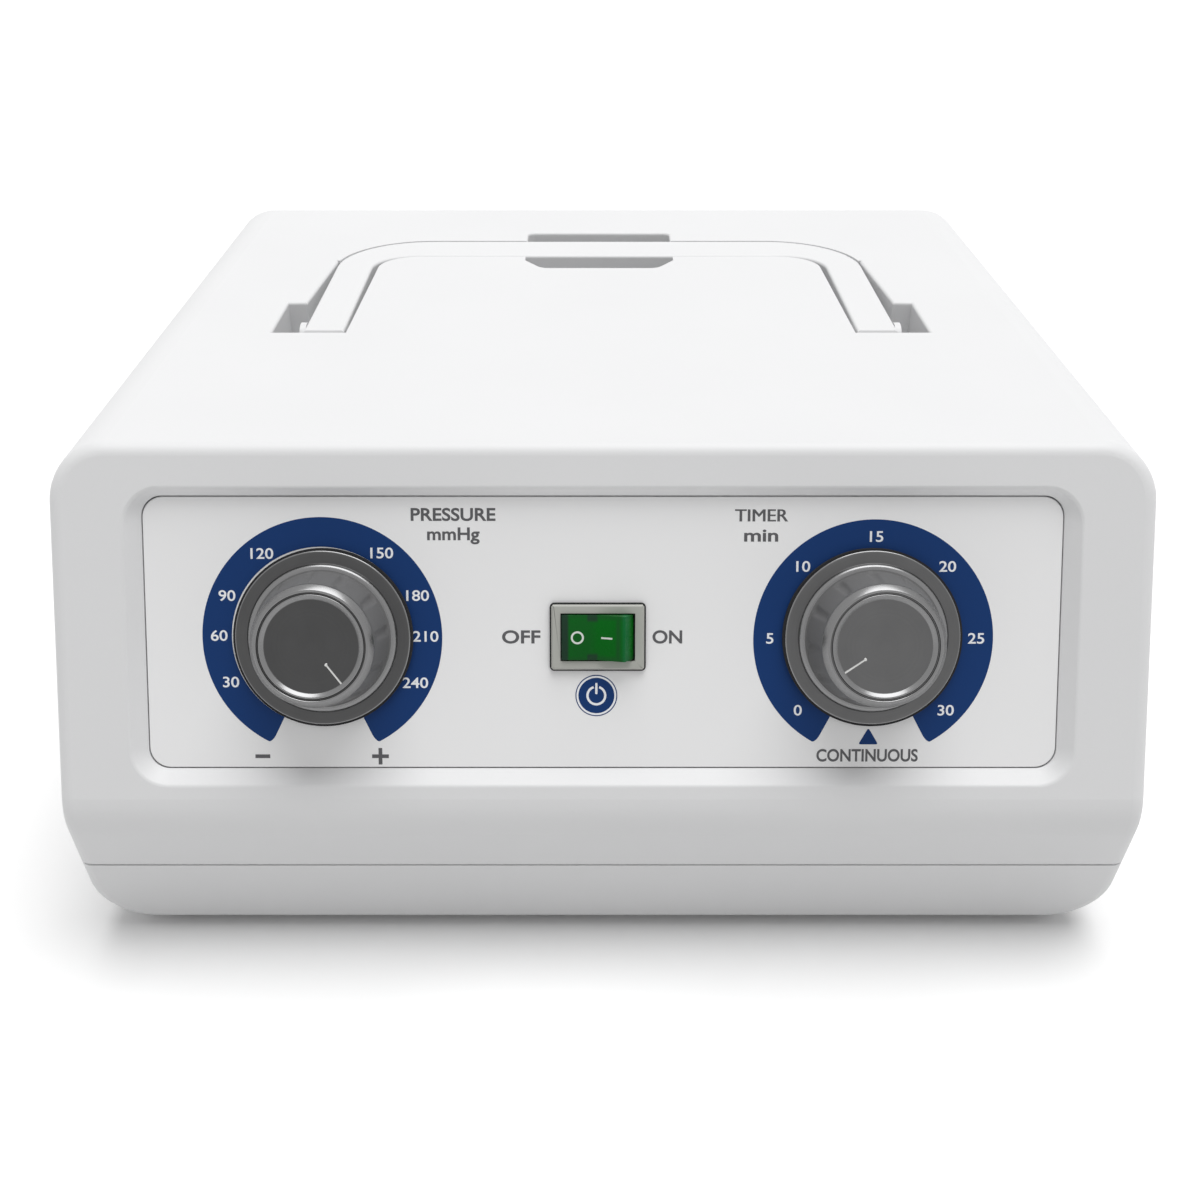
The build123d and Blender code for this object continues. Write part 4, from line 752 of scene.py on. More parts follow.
    @staticmethod
    def copy_node(node: str, name: str) -> Piece:
        """Copies a CAD node's mesh and merges it, ready for modifiers.

        Args:
            node: the node's name.
            name: the copy's name.

        Returns:
            The copy.
        """
        source = frame["nodes"][node]
        piece = bpy.data.objects.new(name, source.data.copy())
        bpy.context.scene.collection.objects.link(piece)
        Bench.open(piece)
        bpy.ops.mesh.customdata_custom_splitnormals_clear()
        bpy.ops.mesh.remove_doubles(threshold=0.002 * MM)
        bpy.ops.mesh.dissolve_limited(angle_limit=math.radians(0.6))
        bpy.ops.object.mode_set(mode="OBJECT")
        return piece


def finish_piece(piece: Piece, material: Material, body: str, slot: str, *nodes: str) -> Piece:
    """Gives a new piece its finish, its body and the nodes it stands for.

    Args:
        piece: the finished piece, in place.
        material: its material.
        body: the body it rides on.
        slot: the record's material slot; not used.
        nodes: the CAD nodes that it replaces.

    Returns:
        The same piece.
    """
    piece.data.materials.clear()
    piece.data.materials.append(material)
    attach(piece, body)
    if nodes:
        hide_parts(*nodes)
    log.info("piece %s: %d faces on %s", piece.name, len(piece.data.polygons), body)
    return piece


# ---------------------------------------------------------------- control face
@dataclass(frozen=True)
class ControlFace:
    """The leaning plane of the printed film: x across, y up the face, z out of it."""

    dial_drop: float = 41.8 * MM

    def seat(self, centre: Vector, lift: float = 0.0, turn: float = 0.0) -> Matrix:
        """Axes on the film.

        Args:
            centre: a point of the film's plane.
            lift: height above the film.
            turn: degrees that the axes are turned clockwise, seen from the front.

        Returns:
            The seat's matrix.
        """
        normal = Vector(JOINTS["pressure_turn"]["axis"])
        across = Vector((1, 0, 0))
        axes = Matrix((across, normal.cross(across), normal)).transposed().to_4x4()
        spin = Matrix.Rotation(-math.radians(turn), 4, "Z")
        return Matrix.Translation(centre + normal * lift) @ axes @ spin

    def dial(self, name: str) -> Vector:
        """Centre of a dial on the film."""
        return Vector(JOINTS[f"{name}_turn"]["pos_m"])

    def point(self, x: float, drop: float) -> Vector:
        """Point of the film's plane.

        Args:
            x: its place across.
            drop: its distance down the face from the film's sharp top edge.

        Returns:
            The point.
        """
        centre = self.dial("pressure")
        up = self.seat(centre).to_3x3() @ Vector((0, 1, 0))
        return Vector((x, centre.y, centre.z)) + up * (self.dial_drop - drop)


FACE = ControlFace()


class Weight(Enum):
    """How much the letters are thickened, as a share of their cap height."""

    BOLD = 0.03
    MEDIUM = 0.016
    PLAIN = 0.0


@dataclass(frozen=True)
class Printer:
    """Makes thin marks and letters, drawn round the origin and then put at their seat."""

    thickness: float = 0.03 * MM
    cap_share: float = 0.73
    ring_steps: int = 180
    least_radius: float = 0.01 * MM

    def letters(
        self,
        name: str,
        text: str,
        seat: Matrix,
        cap: float,
        weight: Weight,
        width: float = 0.0,
        stretch: float = 1.0,
    ) -> Piece:
        """Prints one line of letters.

        Args:
            name: the piece's name.
            text: the line.
            seat: where the middle of the line goes.
            cap: height of the capitals.
            weight: how bold the letters are.
            width: the line's width where it is set.
            stretch: how much wider than drawn the letters are where no width is set.

        Returns:
            The letters as a mesh in place.
        """
        bpy.ops.object.select_all(action="DESELECT")
        bpy.ops.object.text_add()
        curve = bpy.context.active_object.data
        curve.body = text
        curve.size = cap / self.cap_share
        curve.align_x = "CENTER"
        curve.offset = cap * weight.value
        curve.extrude = self.thickness / 2
        curve.resolution_u = 6
        bpy.ops.object.convert(target="MESH")
        line = bpy.context.active_object
        line.name = line.data.name = name
        stretch = width / line.dimensions.x if width else stretch
        middle = Matrix.Translation((0, -cap / 2, self.thickness / 2))
        line.matrix_world = Matrix.Diagonal((stretch, 1, 1, 1)) @ middle
        return Bench.seat(line, seat)

    def annulus(
        self, name: str, inner: float, outer: float, seat: Matrix, gap: float = 0.0, corner: float = 0.0
    ) -> Piece:
        """Prints a ring, open at the bottom where it has a gap.

        Args:
            name: the piece's name.
            inner: inner radius, 0 for a disc.
            outer: outer radius.
            seat: the ring's centre.
            gap: half of the opening in degrees.
            corner: rounding of an open ring's outer ends.

        Returns:
            The ring as a mesh in place.
        """

        def from_bottom(co: Vector) -> float:
            """Angle between a place and the bottom of the ring."""
            return abs(math.atan2(co.x, -co.y))

        inner = max(inner, self.least_radius)
        ring = Bench.start(Start.CIRCLE, name, vertices=self.ring_steps, radius=inner, fill_type="NOTHING")
        if gap:
            Bench.pick(ring, lambda co: from_bottom(co) < math.radians(gap))
            bpy.ops.mesh.delete(type="VERT")
            Bench.pick(ring, lambda co: True)
        Bench.extrude(0.0)
        Bench.resize(outer / inner, outer / inner)
        if corner:
            rim = [v.co.copy() for v in bmesh.from_edit_mesh(ring.data).verts if v.co.length > 0.99 * outer]
            ends = sorted(rim, key=from_bottom)[:2]
            Bench.pick(ring, lambda co: any((co - end).length < 0.001 * MM for end in ends))
            bpy.ops.mesh.bevel(offset=corner, segments=8, affect="VERTICES", clamp_overlap=False)
        return self.settle(ring, seat)

    def plate(self, name: str, size: Pair, corner: float, seat: Matrix) -> Piece:
        """Prints a rectangle.

        Args:
            name: the piece's name.
            size: width and height.
            corner: rounding of the corners, 0 for sharp ones.
            seat: where its middle goes.

        Returns:
            The rectangle as a mesh in place.
        """
        mark = Bench.start(Start.PLANE, name, size=1.0)
        Bench.resize(*size)
        return self.settle(mark, seat, corner)

    def triangle(self, name: str, size: Pair, corner: float, seat: Matrix) -> Piece:
        """Prints an upright triangle.

        Args:
            name: the piece's name.
            size: width of the base, and height.
            corner: rounding of the corners.
            seat: where its middle goes.

        Returns:
            The triangle as a mesh in place.
        """
        mark = Bench.start(Start.CIRCLE, name, vertices=3, radius=1.0, fill_type="NGON")
        Bench.resize(size[0] / math.sqrt(3), size[1] / 1.5)
        return self.settle(mark, seat, corner)

    def settle(self, mark: Piece, seat: Matrix, corner: float = 0.0) -> Piece:
        """Faces a flat mark upwards, gives it the ink's thickness and seats it.

        Args:
            mark: the mark in edit mode.
            seat: where it goes.
            corner: rounding of its corners, 0 to leave them.

        Returns:
            The mark in place.
        """
        if corner:
            bpy.ops.mesh.bevel(offset=corner, segments=5, affect="VERTICES")
        Bench.leave(mark)
        if mark.data.polygons[0].normal.z < 0:
            Bench.open(mark)
            bpy.ops.mesh.flip_normals()
            bpy.ops.object.mode_set(mode="OBJECT")
        Bench.apply(mark, "SOLIDIFY", thickness=self.thickness, offset=1.0)
        return Bench.seat(mark, seat)


@dataclass
class DialScale:
    """The blue ring printed round a dial, with its numbers."""

    name: str
    numbers: Sequence[int]
    angles: Sequence[float]
    shift: Pair
    inner: float = 19.0 * MM
    outer: float = 26.25 * MM
    gap: float = 26.0
    corner: float = 2.2 * MM
    number_radius: float = 22.6 * MM
    number_cap: float = 2.4 * MM
    number_stretch: float = 1.17
    ring_lift: float = 0.004 * MM
    number_lift: float = 0.006 * MM

    def ring(self, printer: Printer) -> Piece:
        """Prints the ring."""
        seat = self.seat(self.ring_lift)
        return printer.annulus(f"{self.name}_scale_ring", self.inner, self.outer, seat, self.gap, self.corner)

    def figures(self, printer: Printer) -> Piece:
        """Prints the numbers on the ring.

        Args:
            printer: prints the letters.

        Returns:
            The numbers as one piece.
        """
        above = self.seat(self.number_lift + printer.thickness)
        figures = []
        for number, angle in zip(self.numbers, self.angles):
            turn, reach = math.radians(angle), self.number_radius
            spot = above @ Matrix.Translation((math.sin(turn) * reach, math.cos(turn) * reach, 0))
            label, cap, stretch = f"{self.name}_figure_{number}", self.number_cap, self.number_stretch
            figures.append(printer.letters(label, str(number), spot, cap, Weight.MEDIUM, stretch=stretch))
        return Bench.join(figures, f"{self.name}_scale_numbers")

    def seat(self, lift: float) -> Matrix:
        """The ring's axes, shifted a little from the dial's."""
        dial = FACE.dial(self.name)
        return FACE.seat(dial + FACE.seat(dial).to_3x3() @ Vector((*self.shift, 0)), lift)


@dataclass
class PanelPrint:
    """Everything printed on the film. word_nudge, sign_drop and power_at are in millimetres."""

    printer: Printer
    pressure_numbers: Sequence[int] = range(30, 241, 30)
    pressure_angles: Sequence[float] = (-116.0, -89.0, -66.0, -35.5, 35.0, 66.0, 89.5, 116.5)
    timer_numbers: Sequence[int] = range(0, 31, 5)
    timer_end: float = 134.0
    legend_cap: float = 2.8 * MM
    switch_cap: float = 2.9 * MM
    word_nudge: float = 0.08
    sign_size: float = 3.7 * MM
    sign_bar: float = 0.82 * MM
    sign_drop: float = 68.4
    power_radius: float = 3.95 * MM
    power_outline: float = 4.6 * MM
    power_line: float = 0.22 * MM
    power_at: Pair = (-1.4, 54.8)
    symbol_radius: float = 2.2 * MM
    symbol_stroke: float = 0.5 * MM
    symbol_bar: float = 2.5 * MM
    film_lift: float = 0.004 * MM

    def __post_init__(self) -> None:
        """Mixes the inks."""
        self.blue = ink("ink_blue", (0.005, 0.038, 0.158), gloss=0.2).make()
        self.white = ink("ink_white", (0.94, 0.955, 0.98)).make()
        self.grey = ink("ink_grey", (0.098, 0.098, 0.104)).make()

    def build(self) -> None:
        """Prints the scales, legends, signs and the power mark."""
        steps = len(self.timer_numbers) - 1
        timer_angles = [-self.timer_end + 2 * self.timer_end / steps * index for index in range(steps + 1)]
        shifts = {"pressure": (-0.4 * MM, 0.0), "timer": (0.4 * MM, -0.5 * MM)}
        for scale in (
            DialScale("pressure", self.pressure_numbers, self.pressure_angles, shifts["pressure"], 19.8 * MM),
            DialScale("timer", self.timer_numbers, timer_angles, shifts["timer"]),
        ):
            self.done(scale.ring(self.printer), self.blue)
            self.done(scale.figures(self.printer), self.white)
        self.legends()
        self.signs()
        self.power_mark()

    @staticmethod
    def done(mark: Piece, colour: Material) -> None:
        """Finishes a printed mark with its ink."""
        finish_piece(mark, colour, "housing", "overlay_film")

    def seat(self, x: float, drop: float, lift: float = 0.0) -> Matrix:
        """Seat of a mark at x and drop, both in millimetres."""
        return FACE.seat(FACE.point(x * MM, drop * MM), self.film_lift + lift)

    def legends(self) -> None:
        """Prints the plain words beside the controls."""
        small, large = self.legend_cap, self.switch_cap
        for name, text, x, drop, cap, width in (
            ("legend_pressure", "PRESSURE", -32.6, 14.9, small, 18.4),
            ("legend_pressure_unit", "mmHg", -32.6, 19.1, small, 11.4),
            ("legend_timer", "TIMER", 34.4, 15.1, small, 11.4),
            ("legend_timer_unit", "min", 34.4, 19.4, small, 7.4),
            ("legend_hold", "CONTINUOUS", 58.4, 68.1, small, 22.4),
            ("legend_off", "OFF", -17.9, 41.7, large, 8.4),
            ("legend_on", "ON", 14.2, 41.7, large, 6.5),
        ):
            # Thickening closes the font's capital M: a word with an M is printed plain, twice, side by side.
            double = "M" in text
            nudges = (-self.word_nudge, self.word_nudge) if double else (0.0,)
            weight = Weight.PLAIN if double else Weight.BOLD
            words = []
            for nudge in nudges:
                seat = self.seat(x + nudge, drop, nudge * self.film_lift)
                words.append(self.printer.letters(name, text, seat, cap, weight, width * MM))
            self.done(Bench.join(words, name), self.grey)

    def signs(self) -> None:
        """Prints minus, plus and the timer's triangle."""
        size, bar, plate = self.sign_size, self.sign_bar, self.printer.plate
        minus_seat, plus_seat = self.seat(-75.1, self.sign_drop), self.seat(-49.1, self.sign_drop)
        self.done(plate("sign_minus", (0.88 * size, bar), 0, minus_seat), self.grey)
        upright = plus_seat @ Matrix.Translation((0, 0, 0.002 * MM))
        across = plate("sign_plus_bar", (size, bar), 0, plus_seat)
        post = plate("sign_plus_post", (bar, size), 0, upright)
        self.done(Bench.join([across, post], "sign_plus"), self.grey)
        arrow_seat = self.seat(58.6, 64.5)
        arrow = self.printer.triangle("timer_triangle", (4.4 * MM, 3.7 * MM), 0.5 * MM, arrow_seat)
        self.done(arrow, self.blue)

    def power_mark(self) -> None:
        """Prints the blue disc with the plain power symbol under the switch."""
        annulus, clear = self.printer.annulus, 0.01 * MM
        low, high = (self.seat(*self.power_at, lift) for lift in (0.0, 1.1 * self.printer.thickness))
        disc, rim, line_start = self.power_radius, self.power_outline, self.power_outline - self.power_line
        parts = [annulus("power_disc", 0.0, disc, low), annulus("power_outline", line_start, rim, low)]
        self.done(Bench.join(parts, "power_disc"), self.blue)
        self.done(annulus("power_halo", disc + clear, line_start - clear, low), self.white)
        radius, stroke, bar = self.symbol_radius, self.symbol_stroke, self.symbol_bar
        upside = high @ Matrix.Rotation(math.pi, 4, "Z")
        bar_seat = high @ Matrix.Translation((0, 0.3 * MM + bar / 2, 0))
        symbol = [
            annulus("power_arc", radius - stroke, radius, upside, 18.0),
            self.printer.plate("power_bar", (stroke, bar), 0.4 * stroke, bar_seat),
        ]
        self.done(Bench.join(symbol, "power_symbol"), self.white)


# ---------------------------------------------------------------- dial knobs
def arc(centre: Pair, radii: Pair | float, start: float, end: float, steps: int) -> list[Pair]:
    """Points of an arc in the plane of radius and height.

    Args:
        centre: radius and height of the arc's centre.
        radii: its radius, or its half axes along radius and height.
        start: first angle in degrees, 0 pointing outwards and 90 upwards.
        end: last angle in degrees.
        steps: number of spans.

    Returns:
        The points, start and end included.
    """
    wide, tall = radii if isinstance(radii, tuple) else (radii, radii)
    turns = [math.radians(start + (end - start) * index / steps) for index in range(steps + 1)]
    return [(centre[0] + wide * math.cos(turn), centre[1] + tall * math.sin(turn)) for turn in turns]


@dataclass
class DialKnob:
    """A turned knob: flat skirt, shoulder bead, fluted grip, bevelled rim, lipped cap and pointer line.

    Radii and heights are in millimetres, measured from the film along the dial's axis. Pairs that name one
    place, such as grip_low, hold a radius and a height. The pointer's angle is in degrees.
    """

    name: str
    pointer: float
    face_tone: float = 0.07
    skirt_tone: float = 0.08
    recess: Pair = (8.0, 3.0)
    foot_lift: float = 0.6
    foot_round: float = 0.3
    skirt_radius: float = 19.15
    skirt_side: float = 1.6
    skirt_round: float = 0.4
    skirt_face: float = 2.06
    bead: Pair = (15.3, 2.1)
    bead_round: float = 0.95
    grip_low: Pair = (14.66, 3.2)
    grip_high: Pair = (13.25, 13.5)
    grip_spans: int = 10
    flute_count: int = 12
    flute_steps: int = 24
    flute_round: float = 1.7
    flute_depths: Pair = (0.55, 0.3)
    flute_fades: Pair = (0.1, 0.03)
    rim_radius: float = 13.1
    rim_drop: float = 1.7
    rim_round: float = 0.5
    rim_crest: Pair = (11.7, 15.8)
    crest_rounds: Pair = (0.6, 0.3)
    bore_radius: float = 11.4
    cap_floor: float = 13.7
    cap_face: float = 15.1
    lip: Pair = (9.95, 11.1)
    lip_rise: float = 0.34
    lip_round: float = 0.3
    pointer_start: float = 4.9
    pointer_width: float = 0.5
    pointer_height: float = 0.12
    dot_radius: float = 0.42
    # A black ring under the skirt's edge paints the shadow round the knob.
    collar_radius: float = 19.55
    collar_height: float = 1.6
    smooth_angle: float = 42.0

    def grip_rings(self) -> list[tuple[float, float, float]]:
        """Spaces the fluted grip's rings, closer together near its ends.

        Returns:
            Each ring's share of the way up, its radius and its height.
        """
        (low_radius, low), (high_radius, high) = self.grip_low, self.grip_high
        rings = []
        for step in range(self.grip_spans + 1):
            height = low + (high - low) * (1 - math.cos(math.pi * step / self.grip_spans)) / 2
            share = (height - low) / (high - low)
            rings.append((share, low_radius + (high_radius - low_radius) * share, height))
        return rings

    def profile(self) -> list[Pair]:
        """Draws the knob's outline from its underside over the rim into the cap's bore.

        Returns:
            Radius and height of each ring.
        """
        skirt, foot, edge, face = self.skirt_radius, self.foot_round, self.skirt_round, self.skirt_face
        points = [self.recess, (self.recess[0], self.foot_lift)]
        points += arc((skirt - foot, self.foot_lift + foot), foot, -90, 0, 3)
        points += arc((skirt - edge, self.skirt_side), edge, 0, 84, 5)
        points += [(skirt - 1.0, face), (self.bead[0] + 1.4, face), (self.bead[0] + 1.1, face + 0.02)]
        points += arc(self.bead, self.bead_round, 10, 96, 10)
        points.append((self.bead[0] - 0.4, self.bead[1] + 0.98))
        points += [(radius, height) for _, radius, height in self.grip_rings()]
        (crest, top), (outer_round, inner_round) = self.rim_crest, self.crest_rounds
        points += arc((self.rim_radius - self.rim_round, top - self.rim_drop), self.rim_round, 0, 42, 4)
        points += arc((crest, top - outer_round), outer_round, 46, 86, 4)
        points += arc((crest, top - inner_round), (crest - self.bore_radius, inner_round), 90, 180, 4)
        points += [(self.bore_radius, self.cap_floor), (6.0, self.cap_floor)]
        return points

    def cap_profile(self) -> list[Pair]:
        """Draws the cap's outline from its underside over the lip to the dished face.

        Returns:
            Radius and height of each ring.
        """
        play, bevel, ease = 0.02, 0.4, 0.08
        edge, floor, face, (inner, outer) = self.bore_radius - play, self.cap_floor, self.cap_face, self.lip
        valley = face + self.lip_rise
        points = [(edge - bevel, floor + play), (edge, floor + bevel), (edge, valley)]
        points += [(edge - ease, valley + play), (outer + ease, valley)]
        points += arc((outer - self.lip_round, valley - play), self.lip_round, 15, 130, 7)
        points += arc((inner + 0.12, face + 0.16), 0.2, 230, 268, 3)
        points += [(6.5, face - 0.02), (2.5, face - 0.03)]
        return points

    def turned(self, name: str, points: Sequence[Pair]) -> Piece:
        """Turns an outline into a closed mesh, ring by ring.

        Args:
            name: the piece's name.
            points: radius and height of each ring.

        Returns:
            The piece, left in edit mode.
        """
        radius, height = points[0]
        steps = self.flute_count * self.flute_steps
        piece = Bench.start(Start.CIRCLE, name, vertices=steps, radius=radius * MM, fill_type="NGON")
        bpy.ops.transform.translate(value=(0, 0, height * MM))
        bpy.ops.mesh.select_mode(type="EDGE")
        for next_radius, next_height in points[1:]:
            rise = (0, 0, (next_height - height) * MM)
            bpy.ops.mesh.extrude_edges_move(TRANSFORM_OT_translate={"value": rise})
            Bench.resize(next_radius / radius, next_radius / radius)
            radius, height = next_radius, next_height
        bpy.ops.mesh.edge_face_add()
        return piece

    def flute_cut(self, phase: int, land: float, depth: float) -> float:
        """Radius of the grip at one vertex of a flute.

        Args:
            phase: the vertex's number within its flute, 0 in the middle.
            land: radius of the uncut grip.
            depth: the flute's depth at this height.

        Returns:
            The radius in millimetres.
        """
        turn = math.tau * phase / (self.flute_count * self.flute_steps)
        centre = land + self.flute_round - depth
        reach = self.flute_round**2 - (centre * math.sin(turn)) ** 2
        return min(land, centre * math.cos(turn) - math.sqrt(max(reach, 0.0)))

    def flute(self, piece: Piece) -> None:
        """Scoops the flutes out of the grip's rings, fading out at both of its ends.

        Args:
            piece: the turned knob in edit mode.
        """
        (depth_low, depth_high), (fade_low, fade_high) = self.flute_depths, self.flute_fades
        uncut, near = 0.9999, 0.01 * MM
        for share, land, height in self.grip_rings()[1:-1]:
            fade = min(1.0, share / fade_low, (1 - share) / fade_high)
            depth = (depth_low + (depth_high - depth_low) * share) * fade
            for phase in range(self.flute_steps // 2):
                factor = self.flute_cut(phase, land, depth) / land
                if factor <= uncut:
                    Bench.pick(piece, lambda co: self.in_phase(co, phase) and abs(co.z - height * MM) < near)
                    Bench.resize(factor, factor)

    def in_phase(self, co: Vector, phase: int) -> bool:
        """Tells the vertices of one line along the flutes from the others.

        Args:
            co: a vertex's place.
            phase: the line's number of steps from the middle of its flute.

        Returns:
            True for a vertex of that line.
        """
        steps = math.atan2(co.x, co.y) / math.tau * self.flute_count * self.flute_steps
        within = round(steps) % self.flute_steps
        return min(within, self.flute_steps - within) == phase

    def pointer_line(self, name: str) -> Piece:
        """Models the bright line set into the cap, with a dot at its inner end.

        Args:
            name: the piece's name.

        Returns:
            The line, made round the dial's axis.
        """
        inner, outer, low = self.pointer_start * MM, (self.lip[1] + 0.1) * MM, (self.cap_face - 0.08) * MM
        middle = (0, (outer + inner) / 2, low)
        bar = Bench.start(Start.PLANE, name, size=1.0)
        Bench.resize(self.pointer_width * MM, outer - inner)
        bpy.ops.transform.translate(value=middle)
        Bench.extrude(self.pointer_height * MM)
        Bench.resize(0.6, 0.98, middle)
        Bench.leave(bar)
        end, radius = (0, inner, low), self.dot_radius * MM
        dot = Bench.start(Start.CIRCLE, f"{name}_dot", vertices=24, radius=radius, fill_type="NGON")
        bpy.ops.transform.translate(value=end)
        Bench.extrude(1.3 * self.pointer_height * MM)
        Bench.resize(0.7, 0.7, end)
        Bench.leave(dot)
        return Bench.join([bar, dot], name)

    def metal(self, name: str, tone: float, beads: Sequence[Pair], grip: Pair | None = None) -> Material:
        """Makes metal turned round the dial's axis; all ranges are of the radius.

        Args:
            name: the material's name.
            tone: tone of the satin faces.
            beads: the ranges of polish, painted paler as sheen.
            grip: the blasted range.

        Returns:
            The material.
        """
        seat = FACE.seat(FACE.dial(self.name))
        ranges = [(low * MM, high * MM) for low, high in beads]
        return TurnedMetal(name, seat, tone, ranges, grip and (grip[0] * MM, grip[1] * MM)).make()

    def close(self, piece: Piece, seat: Matrix) -> Piece:
        """Ends the turning of a piece, shades it smooth and seats it."""
        return Bench.seat(Bench.smooth(Bench.leave(piece), self.smooth_angle), seat)

    def build(self) -> None:
        """Models the knob, its cap, its pointer line and the black ring behind it, which paints the shadow
        round the skirt.
        """
        name, body = self.name, f"{self.name}_dial"
        centre = FACE.dial(name)
        turned_seat = FACE.seat(centre, turn=self.pointer)
        # Bands of polish on the bead, the rim and the skirt's edge, and on the cap's lip, painted paler as
        # sheen.
        beads = ((15.0, 16.3), (11.0, self.rim_radius), (18.85, 19.3))
        metal = self.metal(f"{name}_metal", self.skirt_tone, beads, (self.rim_radius, 15.0))
        knob = self.turned(f"{name}_knob_turned", self.profile())
        self.flute(knob)
        cap_metal = self.metal(f"{name}_cap_metal", self.face_tone, (self.lip,))
        finish_piece(self.close(knob, turned_seat), metal, body, "knob_metal", f"{name}_knob")
        cap = self.turned(f"{name}_cap_turned", self.cap_profile())
        finish_piece(self.close(cap, turned_seat), cap_metal, body, "knob_cap", f"{name}_knob_cap")
        bright = plated(f"{name}_pointer_metal", (0.62, 0.62, 0.61), 0.25).make()
        line = Bench.seat(self.pointer_line(f"{name}_pointer"), turned_seat)
        finish_piece(line, bright, body, "knob_cap")
        # Painted shadow: a black ring under the skirt's edge, given a matt rubber finish, stands for the
        # shadow round the knob.
        black = rubber(f"{name}_shadow_ring_black", (0.004, 0.004, 0.005), 0.85).make()
        inner, outer = (self.skirt_radius - 0.15) * MM, self.collar_radius * MM
        shadow_ring = Printer(self.collar_height * MM).annulus(f"{name}_collar", inner, outer, FACE.seat(centre))
        finish_piece(shadow_ring, black, body, "black_plastic")


# ---------------------------------------------------------------- rocker switch
@dataclass
class RockerSwitch:
    """The green rocker with its printed marks, the grey bezel and a thin black outline round it that paints
    the shadow of the gap at the bezel's edge.
    """

    printer: Printer
    bezel_size: Pair = (21.0 * MM, 15.0 * MM)
    bezel_drop: float = 41.7 * MM
    bezel_round: float = 0.15 * MM
    # A thin black outline round the bezel paints the shadow of the gap at its edge.
    gasket_margin: float = 0.36 * MM
    gasket_height: float = 0.72 * MM
    gasket_corner: float = 1.0 * MM
    gasket_width: float = 1.6 * MM
    rocker_round: float = 0.22 * MM
    rocker_top: float = 3.1 * MM
    raised_slope: float = 27.7
    end_reach: Pair = (0.55 * MM, 0.12 * MM)
    end_lift: float = 0.7 * MM
    half_width: float = 7.85 * MM
    half_height: float = 4.95 * MM
    ring_x: float = -4.45 * MM
    ring_radius: float = 1.42 * MM
    ring_stroke: float = 0.42 * MM
    dash_x: float = 2.2 * MM
    dash_size: Pair = (2.7 * MM, 0.38 * MM)
    dash_corner: float = 0.05 * MM
    ring_lift: float = 0.005 * MM
    dash_lift: float = 0.02 * MM

    def build(self) -> None:
        """Models the rocker, bezel, black outline of painted shadow and marks."""
        pivot = FACE.seat(Vector(JOINTS["rocker_tilt"]["pos_m"]))
        self.rocker(pivot)
        self.bezel()
        self.gasket()
        self.marks(pivot)

    def rocker(self, pivot: Matrix) -> None:
        """Models the rocker: its ends moved out to the opening's edges, its raised end lifted.

        Args:
            pivot: axes at the rocker's pivot: x across, y up the face, z out of it.
        """
        # The rocker's darker colour paints shade and the pivot lugs; its paler one paints a highlight on the
        # raised end.
        green = TintedPlastic(
            "rocker_tinted_green",
            pivot,
            lit=(0.0005, 0.130, 0.008),
            deep=(0.016, 0.045, 0.026),
            pale=(0.010, 0.160, 0.050),
            half_width=self.half_width,
            half_height=self.half_height,
        ).make()
        rocker = Bench.copy_node("switch_rocker", "switch_rocker_moulded")
        left, right = self.end_reach
        # The top of the left end, the right end, and the crest near the raised end.
        moves: Sequence[Move] = (
            (lambda co: co.x < -6.9 * MM and co.z > 2.5 * MM, (-left, 0, 0)),
            (lambda co: co.x > 6.5 * MM and co.z > 1.0 * MM, (right, 0, 0)),
            (lambda co: 5.0 * MM < co.x < 6.1 * MM and co.z > 4.6 * MM, (0, 0, self.end_lift)),
        )
        Bench.shift(rocker, pivot, moves)
        self.soften(rocker, self.rocker_round)
        finish_piece(rocker, green, "rocker", "rocker_green", "switch_rocker")

    def bezel(self) -> None:
        """Models the bezel, drawn in by the outline's margin so that the black outline of painted shadow
        shows round it.
        """
        grey = plastic("bezel_warm_grey", (0.44, 0.445, 0.41), 0.42, depth=0.002 * MM).make()
        bezel = Bench.copy_node("switch_body", "switch_bezel_moulded")

        def edge(axis: int, side: int) -> Move:
            """Finds the bezel's outer edge on one side, above the film.

            Args:
                axis: 0 for a side edge, 1 for an upper or lower one.
                side: -1 or 1, the side of the bezel's middle.

            Returns:
                Which places the edge holds, and its way inwards.
            """
            reach, way = self.bezel_size[axis] / 2 - 0.6 * MM, [0.0, 0.0, 0.0]
            way[axis] = -side * self.gasket_margin
            return lambda co: side * co[axis] > reach and co.z > -0.1 * MM, way

        moves = [edge(axis, side) for axis in (0, 1) for side in (-1, 1)]
        Bench.shift(bezel, FACE.seat(self.film_centre()), moves)
        self.soften(bezel, self.bezel_round)
        finish_piece(bezel, grey, "housing", "bezel_plastic", "switch_body")

    def gasket(self) -> None:
        """Models the thin black outline round the bezel: painted shadow of the gap at its edge."""
        piece = Bench.start(Start.PLANE, "switch_gasket", size=1.0)
        Bench.resize(*self.bezel_size)
        bpy.ops.mesh.bevel(offset=self.gasket_corner, segments=5, affect="VERTICES")
        Bench.extrude(self.gasket_height)
        bpy.ops.mesh.inset(thickness=self.gasket_width)
        bpy.ops.mesh.delete(type="FACE")
        Bench.seat(Bench.leave(piece), FACE.seat(self.film_centre(), 0.01 * MM))
        # Painted shadow: the outline is coloured black, with a matt rubber finish.
        black = rubber("outline_shadow_black", (0.006, 0.006, 0.007), 0.75).make()
        finish_piece(piece, black, "housing", "bezel_plastic")

